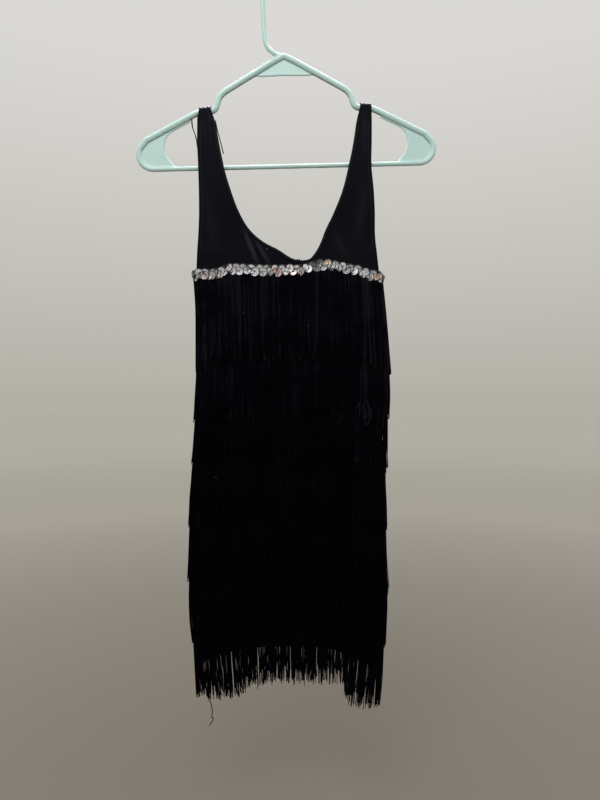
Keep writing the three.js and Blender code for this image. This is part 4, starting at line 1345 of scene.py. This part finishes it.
# x, height over the trim's middle, radius, tint
accents = [
    (-90.0, -5.0, 4.0, (1.0, 1.0, 1.0)), (-112.5, -1.5, 6.4, (0.70, 0.58, 0.61)),
    (-102.0, -2.5, 6.0, (0.66, 0.53, 0.56)), (-14.8, 1.0, 3.2, (0.86, 0.50, 0.48)),
    (-11.5, -2.5, 3.0, (0.70, 0.30, 0.28)), (56.5, 2.6, 3.6, (0.76, 0.44, 0.31)),
    (88.5, -0.5, 2.6, (1.0, 1.0, 1.0)), (124.5, -2.0, 5.2, (0.72, 0.54, 0.40)),
    (129.0, 0.0, 4.4, (0.74, 0.62, 0.56)), (129.4, -7.0, 2.2, (0.50, 0.50, 0.52)),
    (-124.6, -7.0, 2.4, (0.50, 0.50, 0.52)), (66.0, -1.0, 3.0, (0.62, 0.60, 0.62)),
]
ACCENT_OUT = 2.9
# x, half width and how dark: painted shade where the foil would turn away from the light
painted_shade_patch = {"x": 40.0, "half": 7.0, "dull": 0.22}


def front_lap(x, z):
    """The lap at which a place across the front lies."""
    row = section(z)
    if x < NECK_LOW[0]:
        return LEFT_SHARE * np.clip((x - row["left"]) / (NECK_LOW[0] - row["left"]), 0, 1)
    right_share = (x - NECK_LOW[0]) / (row["right"] - NECK_LOW[0])
    return LEFT_SHARE + (1 - LEFT_SHARE) * np.clip(right_share, 0, 0.999)


def sequin_places():
    """Laps, heights, radii and distances out: the two rows, the small ones, then the accents."""
    per_side = int(SIDE_LENGTH / SEQUIN_PITCH)
    laps, heights, radii, outs = [], [], [], []
    for row, height in enumerate((ROW_OFFSET, -ROW_OFFSET)):
        for start in (0, 2):
            laps.append(start + (np.arange(per_side) + 0.25 + 0.5 * row) / per_side)
            laps.append([start + 1.5 + 0.2 * (row - 0.5)])
        count = 2 * (per_side + 1)
        heights.append(height + chance.normal(0, HEIGHT_CHANCE, count))
        radii.append(SEQUIN_RADIUS * chance.uniform(*RADIUS_CHANCE, count))
        outs.append(ROW_OUT + ROW_STEP_OUT * row + chance.uniform(0, OUT_CHANCE, count))
    small = per_side // 3
    laps.append(chance.uniform(0, 4, small))
    heights.append(chance.normal(0, SMALL_HEIGHTS, small))
    radii.append(chance.uniform(*SMALL_RADII, small))
    outs.append(chance.uniform(*SMALL_OUTS, small))
    laps, heights, radii, outs = (np.concatenate(v) for v in (laps, heights, radii, outs))
    laps = np.mod(laps + chance.normal(0, LAP_SHIFT, len(laps)), 4)
    own = [(front_lap(x, float(trim_height(x, FRONT))), height, radius, ACCENT_OUT)
           for x, height, radius, _ in accents]
    return np.vstack([np.column_stack([laps, heights - SEQUINS_LOWER, radii, outs]), own]).T


def sequin_tints(laps, x):
    """A colour for each sequin, painted darker in one patch as painted shade, and the accents' own at
    the end.
    """
    colour = tints[chance.choice(len(tints), len(laps), p=TINT_SHARES)]
    colour = colour * chance.uniform(*TINT_CHANCE, (len(laps), 1))
    colour[(laps < 1) & (np.abs(x - painted_shade_patch["x"]) < painted_shade_patch["half"])] *= painted_shade_patch["dull"]
    colour[-len(accents):] = [tint for *_, tint in accents]
    return np.hstack([colour, np.ones((len(laps), 1))])


print(len(accents), "sequins placed by hand")

# %% [markdown]
# ## Sew on the trim
# The braid is a closed band with scalloped edges, and the sewing tool puts a sequin on every place.
# A sequin faces straight out of the dress, but leans towards the next one, as scales do.

# %% Sequin trim
SEQUIN_OVERLAP = 0.14
SCALLOP_PITCH, BRAID_INSET, BRAID_INNER, BRAID_OUTER = 10.5, 1.6, 0.35, 1.0
BRAID_TINT = 0.03


def turns_to(ways):
    """Rotations that turn a shape's own Z along each way."""
    return np.array([Vector(way).to_track_quat("Z", "Y").to_euler() for way in ways])


def make_trim():
    """The scalloped braid with its sequins."""
    band_laps = laps_round(2 * int(2 * SIDE_LENGTH / SCALLOP_PITCH))
    scallop = TRIM_SCALLOP * np.abs(np.sin(band_laps * np.pi * SIDE_LENGTH / SCALLOP_PITCH))
    half = TRIM_HALF - BRAID_INSET + scallop
    braid_band = closed_band(band_laps, lambda x, side: trim_height(x, side) + half,
                             lambda x, side: trim_height(x, side) - half,
                             BRAID_INNER, BRAID_OUTER)
    laps, heights, radii, outs = sequin_places()

    def at(further):
        return round_point(laps, lambda x, side: trim_height(x, side) + heights, outs + further)

    place = at(0)
    outward = at(3) - place
    outward /= np.linalg.norm(outward, axis=1, keepdims=True)
    outward = outward + SEQUIN_OVERLAP * np.cross(outward, (0, 0, 1))
    attributes = {"turn": turns_to(outward), "width": np.repeat(radii[:, None] * MM, 3, axis=1),
                  "tint": sequin_tints(laps, place[:, 0] / MM)}
    return run_tool(sewing_tool, "sequin_trim_rows", place, attributes,
                    {"Shape": sequin_shape, "Tilt": 0.17, "Seed": 4, "Material": sequin},
                    band=braid_band, blanks={"width": 1, "tint": BRAID_TINT})


sequin_trim = make_trim()
bpy.data.objects.remove(sequin_shape)
print("sequin trim", triangles(sequin_trim), "triangles")

# %% [markdown]
# ## Neck edging
# The neck is turned over and held by two rows of stitches, so its edge is a narrow, slightly raised
# band. It is swept along the neck's own edge: a rounded strip whose points are asked from the cloth's
# surface, so that it lies on it all the way.

# %% Neck edging
EDGING_WIDTH, EDGING_THICKNESS = 4.0, 0.9
EDGING_RINGS, EDGING_SIDES, EDGING_ROUND = 150, 14, 0.7
EDGE_IN, SUNK = 0.2, 0.05


def neck_path(side):
    """Places and heights along the neck from the left strap down and up to the right one."""
    drop = neck_drop(side)
    lowest = NECK_LOW[1] - drop
    depth = np.linspace(np.sqrt(STRAP_TOP_Z - lowest), 0, EDGING_RINGS)
    z = lowest + depth ** 2
    left = np.column_stack([neck_value("neck_left", z, drop), z])
    right = np.column_stack([neck_value("neck_right", z, drop), z])
    return np.vstack([left, right[-2::-1]])


def beside_neck(side, path, distance):
    """The neck's path moved away from the opening, kept above the trim."""
    along = np.gradient(path, axis=0)
    along /= np.linalg.norm(along, axis=1, keepdims=True)
    x = path[:, 0] + along[:, 1] * distance
    z = path[:, 1] - along[:, 0] * distance
    above_trim = trim_height(x, side) + TRIM_HALF + TRIM_SCALLOP + 2 * SEAM_GAP
    return x, np.maximum(z, above_trim)


def make_edging(name, side):
    """A rounded strip along one neck, closed at both ends."""
    path = neck_path(side)
    angle = circle(EDGING_SIDES)
    rounded = np.sign(np.sin(angle)) * np.abs(np.sin(angle)) ** EDGING_ROUND
    distances = EDGE_IN + (EDGING_WIDTH - EDGE_IN) * (1 - np.cos(angle)) / 2
    outs = CLOTH_WALL + SUNK + (EDGING_THICKNESS + EDGE_IN) * (1 + rounded) / 2
    rings = []
    for distance, out in zip(distances, outs):
        x, z = beside_neck(side, path, distance)
        rings.append(cloth_point(side, x, z, out + creases(side, x, z)))
    places = np.stack(rings, axis=1).reshape(-1, 3)
    piece = new_object(name, places, tube_faces(len(path), EDGING_SIDES), jersey)
    layer = piece.data.uv_layers.new(name="flat")
    corners = [loop.vertex_index for loop in piece.data.loops]
    layer.data.foreach_set("uv", places[corners][:, [0, 2]].ravel())
    return weld(piece)


edging_front = make_edging("neck_turning_front", FRONT)
edging_back = make_edging("neck_turning_back", BACK)
print("edging", triangles(edging_front), triangles(edging_back), "triangles")

# %% [markdown]
# ## Sewing thread
# Sewing thread is spun from several plies, and shade falls between them at a slant. A band texture
# paints that shade, and multiplies a tint that each piece of thread brings with it, so that one
# material serves black stitches and pale fluff.

# %% Thread material
PLIES_SCALE = 600.0

thread, tree, shader = new_material("thread", 0.5, Sheen_Weight=0.05, Specular_IOR_Level=0.3)
twist = bands(tree, place_on(tree), PLIES_SCALE, "DIAGONAL", Distortion=2.0)
# painted shade between the plies
ply_shade = colour_ramp(tree, twist, [(0.2, (0.7, 0.7, 0.7)), (0.8, (1.0, 1.0, 1.0))])
colour = vector_math(tree, "MULTIPLY", attribute(tree, "tint", "Color"), ply_shade)
tree.links.new(colour, shader.inputs["Base Color"])
raise_relief(tree, shader, twist, 0.3, 0.0002)
print("thread ready")

# %% [markdown]
# ## Stitches
# Two rows of small stitches hold the turned neck, and one row runs along each armhole. Real sewing is
# one thread that dips in and out, but only its top loops show. The same sewing tool puts a short
# rounded stitch on each point and turns it along its seam.

# %% Rows of stitches
STITCH_PITCH, STITCH_LENGTH, STITCH_RADIUS, STITCH_SIDES = 3.2, 2.3, 0.26, 6
NECK_STITCH_ROWS = (1.1, 3.1)
ARMHOLE_STITCH_IN = 4.5
OVER_EDGING, OVER_CLOTH = 0.25, 0.1
THREAD_TINT = (0.030, 0.030, 0.036)


def stitch_mesh():
    """A rounded stitch of length 1 along Z and radius 1."""
    rings = [(0.35, -0.5), (1.0, -0.34), (1.0, 0.34), (0.35, 0.5)]
    points = [(r * np.cos(a), r * np.sin(a), h) for r, h in rings for a in circle(STITCH_SIDES)]
    return points, tube_faces(len(rings), STITCH_SIDES)


def even_places(x, z):
    """Places at the stitch pitch along a line of x and z."""
    run = np.concatenate([[0], np.cumsum(np.hypot(np.diff(x), np.diff(z)))])
    places = np.arange(STITCH_PITCH, run[-1] - STITCH_PITCH, STITCH_PITCH)
    return np.interp(places, run, x), np.interp(places, run, z)


def stitch_row(side, x, z, out):
    """Places and directions of the stitches along one seam of a panel."""
    x, z = even_places(x, z)
    place = cloth_point(side, x, z, out + creases(side, x, z))
    return place, np.gradient(place, axis=0)


def seams():
    """Every seam whose stitches show: the necks and the armholes."""
    for side in (FRONT, BACK):
        for distance in NECK_STITCH_ROWS:
            x, z = beside_neck(side, neck_path(side), distance)
            yield stitch_row(side, x, z, CLOTH_WALL + EDGING_THICKNESS + OVER_EDGING)
        z = np.linspace(ARMHOLE_BOTTOM + 4, STRAP_TOP_Z - 2, 60)
        for hand, inwards in (("left", 1), ("right", -1)):
            x = neck_value("outer_" + hand, z) + inwards * ARMHOLE_STITCH_IN
            yield stitch_row(side, x, z, CLOTH_WALL + OVER_CLOTH)


def sew_thread(name, place, way, size, tint, shape):
    """Puts one thread shape on each place, turned along its way."""
    attributes = {"turn": turns_to(way), "width": np.asarray(size) * MM,
                  "tint": np.hstack([tint, np.ones((len(place), 1))])}
    return run_tool(sewing_tool, name, place, attributes,
                    {"Shape": shape, "Tilt": 0.02, "Seed": 9, "Material": thread})


stitch_shape = weld(new_object("stitch_shape", *stitch_mesh()))
place, way = (np.vstack(part) for part in zip(*seams()))
count = len(place)
stitches = sew_thread("stitches", place, way,
                      np.tile([STITCH_RADIUS, STITCH_RADIUS, STITCH_LENGTH], (count, 1)),
                      np.tile(THREAD_TINT, (count, 1)), stitch_shape)
print(count, "stitches,", triangles(stitches), "triangles")

# %% [markdown]
# ## Fluff
# Black cloth picks up fluff, and a dress that looks quite clean looks false. Each bit is one stitch
# shape again, with its own size, slant and tint from a short table, so no new tool is needed.

# %% Fluff
SLANT_UP = 0.6
# x, z, out, radius, length, slant, tint
fluff_rows = [
    (-26.1, -379.0, 1.6, 0.45, 1.3, 1.0, 0.45),
    (15.2, -394.4, 1.9, 1.1, 4.2, 1.0, 0.010),
    (19.0, -393.9, 2.0, 0.8, 2.4, -0.6, 0.012),
    (-58.0, -468.0, 6.5, 0.22, 4.0, 0.6, 0.10),
    (31.0, -486.0, 7.0, 0.22, 3.0, -0.8, 0.12),
    (100.0, -592.0, 8.0, 0.22, 9.0, 0.3, 0.05),
    (-95.0, -690.0, 8.0, 0.25, 5.0, -0.5, 0.06),
]
table = np.array(fluff_rows)
place = cloth_point(FRONT, table[:, 0], table[:, 1], CLOTH_WALL + table[:, 2])
way = np.column_stack([table[:, 5], np.zeros(len(table)), np.full(len(table), SLANT_UP)])
fluff = sew_thread("fluff", place, way, table[:, [3, 3, 4]], np.tile(table[:, 6:], (1, 3)),
                   stitch_shape)
bpy.data.objects.remove(stitch_shape)
print("fluff", triangles(fluff), "triangles")

# %% [markdown]
# ## Ribbon loop
# Thin satin ribbon loops are sewn into the armholes, so that the dress can be hung without
# stretching its straps. One stands up behind the hanger's arm beside the left strap, and its loose
# end lies inside that strap. It is a flat strip swept along a smooth line through a few knots.

# %% Ribbon loop
LOOP_ACROSS, LOOP_THICKNESS = 1.5, 0.6
LOOP_FOOT_X, LOOP_FOOT_Z, LOOP_TOP_X = -124.6, -234.0, -133.4
LOOP_CLEARANCE = 1.4
LOOP_ABOVE, LOOP_APART = 8.5, 2.6
LOOP_STEPS, END_STEPS = 90, 16
SATIN_SCALE = 900.0

ribbon, tree, shader = new_material("satin_ribbon", 0.36, Sheen_Weight=0.1, Specular_IOR_Level=0.55)
threads = bands(tree, place_on(tree), SATIN_SCALE, "Z", Distortion=1.0)
weave = colour_ramp(tree, threads, [(0.2, (0.006, 0.006, 0.007)), (0.8, (0.014, 0.014, 0.016))])
tree.links.new(weave, shader.inputs["Base Color"])
raise_relief(tree, shader, threads, 0.3, 0.0002)


def ribbon_strip(name, route, across_way, width, thickness):
    """A flat ribbon along a route in millimetres, with its width along one direction."""
    across_way = np.array(across_way, float)
    way = np.gradient(route, axis=0)
    way /= np.linalg.norm(way, axis=1, keepdims=True)
    wide = across_way[None, :] - way * (way @ across_way)[:, None]
    wide /= np.linalg.norm(wide, axis=1, keepdims=True)
    out = np.cross(way, wide)
    corners = [(-1, -0.5), (-0.8, -1), (0.8, -1), (1, -0.5), (1, 0.5), (0.8, 1), (-0.8, 1), (-1, 0.5)]
    rings = [route + wide * a * width / 2 + out * b * thickness / 2 for a, b in corners]
    points = np.stack(rings, axis=1).reshape(-1, 3) * MM
    return weld(new_object(name, points, tube_faces(len(route), len(corners)), ribbon))


reach = STRAP_INNER + LOOP_THICKNESS / 2 + LOOP_CLEARANCE
arm_z = float(arm_height(LOOP_TOP_X))
leg = [
    (LOOP_FOOT_X, reach, LOOP_FOOT_Z), (-128.0, reach + 0.6, LOOP_FOOT_Z + 19),
    (blend(LOOP_FOOT_X, LOOP_TOP_X, 0.9), reach + 0.5, arm_z - 10),
    (LOOP_TOP_X, reach, arm_z - 1), (LOOP_TOP_X, reach + 0.2, arm_z + 0.7 * LOOP_ABOVE),
]
loop_knots = leg + [(LOOP_TOP_X, reach + LOOP_APART / 2, arm_z + LOOP_ABOVE)]
loop_knots += [(x, y + LOOP_APART, z) for x, y, z in leg[::-1]]


def smooth_route(knots, count):
    """Evenly spaced points on a smooth line through a few knots."""
    knots = np.array(knots)
    spans = np.concatenate([[0], np.cumsum(np.linalg.norm(np.diff(knots, axis=0), axis=1))])
    fine = np.linspace(0, spans[-1], count)
    return np.column_stack([curve_through(spans, knots[:, axis], fine) for axis in range(3)])


hanger_loop = ribbon_strip("ribbon_loop", smooth_route(loop_knots, LOOP_STEPS), (1, 0, 0),
                           LOOP_ACROSS, LOOP_THICKNESS)
inner_end = [(-98.5, -3.4, -198.0), (-95.5, -3.4, -212.0), (-91.0, -3.2, -229.0), (-87.2, -3.0, -244.5)]
loop_end = ribbon_strip("ribbon_end", smooth_route(inner_end, END_STEPS), (1, 0, 0),
                        LOOP_ACROSS, LOOP_THICKNESS)
print("ribbon loop", triangles(hanger_loop), "triangles")

# %% [markdown]
# ## Loose strands
# Chainette unravels when one end is pulled. One strand of the last row hangs far below the others
# with a knot in it, and a second has pulled loose on the right and lies over the third row in loops.
# Each is a single strand, so it is swept like the ribbon and only its material differs. The loops
# are waves of unlike pitch, so they never close on themselves.

# %% Stray strand and tangle
LOOSE_WIDTH, STRAY_STEPS = 1.1, 40
STRAY_ROOT = (-103.0, -955.0, 5.0)
STRAY_FALL = 61.0
TANGLE_X, TANGLE_Z, TANGLE_OUT, TANGLE_STEPS = 109.0, -606.0, 9.5, 150
TANGLE_TURNS, TANGLE_TONE = 4.2, 3.0


def loose_strand(name, route, across_way):
    """A strip as thick as it is wide, of chainette."""
    strand = ribbon_strip(name, route, across_way, LOOSE_WIDTH, LOOSE_WIDTH)
    strand.data.materials[0] = chainette
    return strand


root_x, root_z, root_out = STRAY_ROOT
start = cloth_point(FRONT, root_x, root_z, CLOTH_WALL + root_out) / MM
stray_knots = [start, start + (0.6, 0, -22.0), start + (4.2, 0, -45.5), start + (3.4, 0, -49.5),
               start + (4.6, 0, -50.0), start + (0.2, 0, -STRAY_FALL)]
stray_strand = loose_strand("stray_strand", smooth_route(stray_knots, STRAY_STEPS), (1, 0, 0))
turns = np.linspace(0, 1, TANGLE_STEPS)
wave = 2 * np.pi * TANGLE_TURNS * turns
tangle_x = TANGLE_X + 4.5 * np.sin(wave) + 4 * turns
tangle_z = TANGLE_Z + 30 * (0.5 - turns) * (1 - turns) + 11 * np.cos(0.93 * wave + 0.6)
tangle_out = CLOTH_WALL + TANGLE_OUT + 1.6 * np.sin(0.71 * wave)
tangle_route = cloth_point(FRONT, tangle_x, tangle_z, tangle_out) / MM
tangle = loose_strand("tangle", tangle_route, (1, 0, 0.3))
set_attribute(tangle, "tone", np.full(len(tangle.data.vertices), TANGLE_TONE))
print("stray strand ends at", round(float(start[2]) - STRAY_FALL, 1), "mm")

# %% [markdown]
# ## Ties to the frame
# Every piece rides on the one body, and each large one stands for its solid. The ribbon's end, the
# stitches, the fluff and the two loose strands have no solid and only ride along.

stands_for = {
    "hanger": (hanger, "plastic"),
    "dress_front": (dress_front, "jersey"),
    "dress_back": (dress_back, "jersey"),
    "neck_edging_front": (edging_front, "jersey"),
    "neck_edging_back": (edging_back, "jersey"),
    "sequin_trim": (sequin_trim, "sequins"),
    "hanger_loop": (hanger_loop, "ribbon"),
}
for tier, row in enumerate(fringe_rows):
    stands_for[f"fringe_tier_{tier + 1}"] = (row, "fringe")
for piece, finish in ((loop_end, "ribbon"), (stitches, "jersey"), (fluff, "jersey"),
                      (stray_strand, "fringe"), (tangle, "fringe")):
    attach(piece, "root")
for solid, (piece, finish) in stands_for.items():
    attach(piece, "root")
    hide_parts(solid)
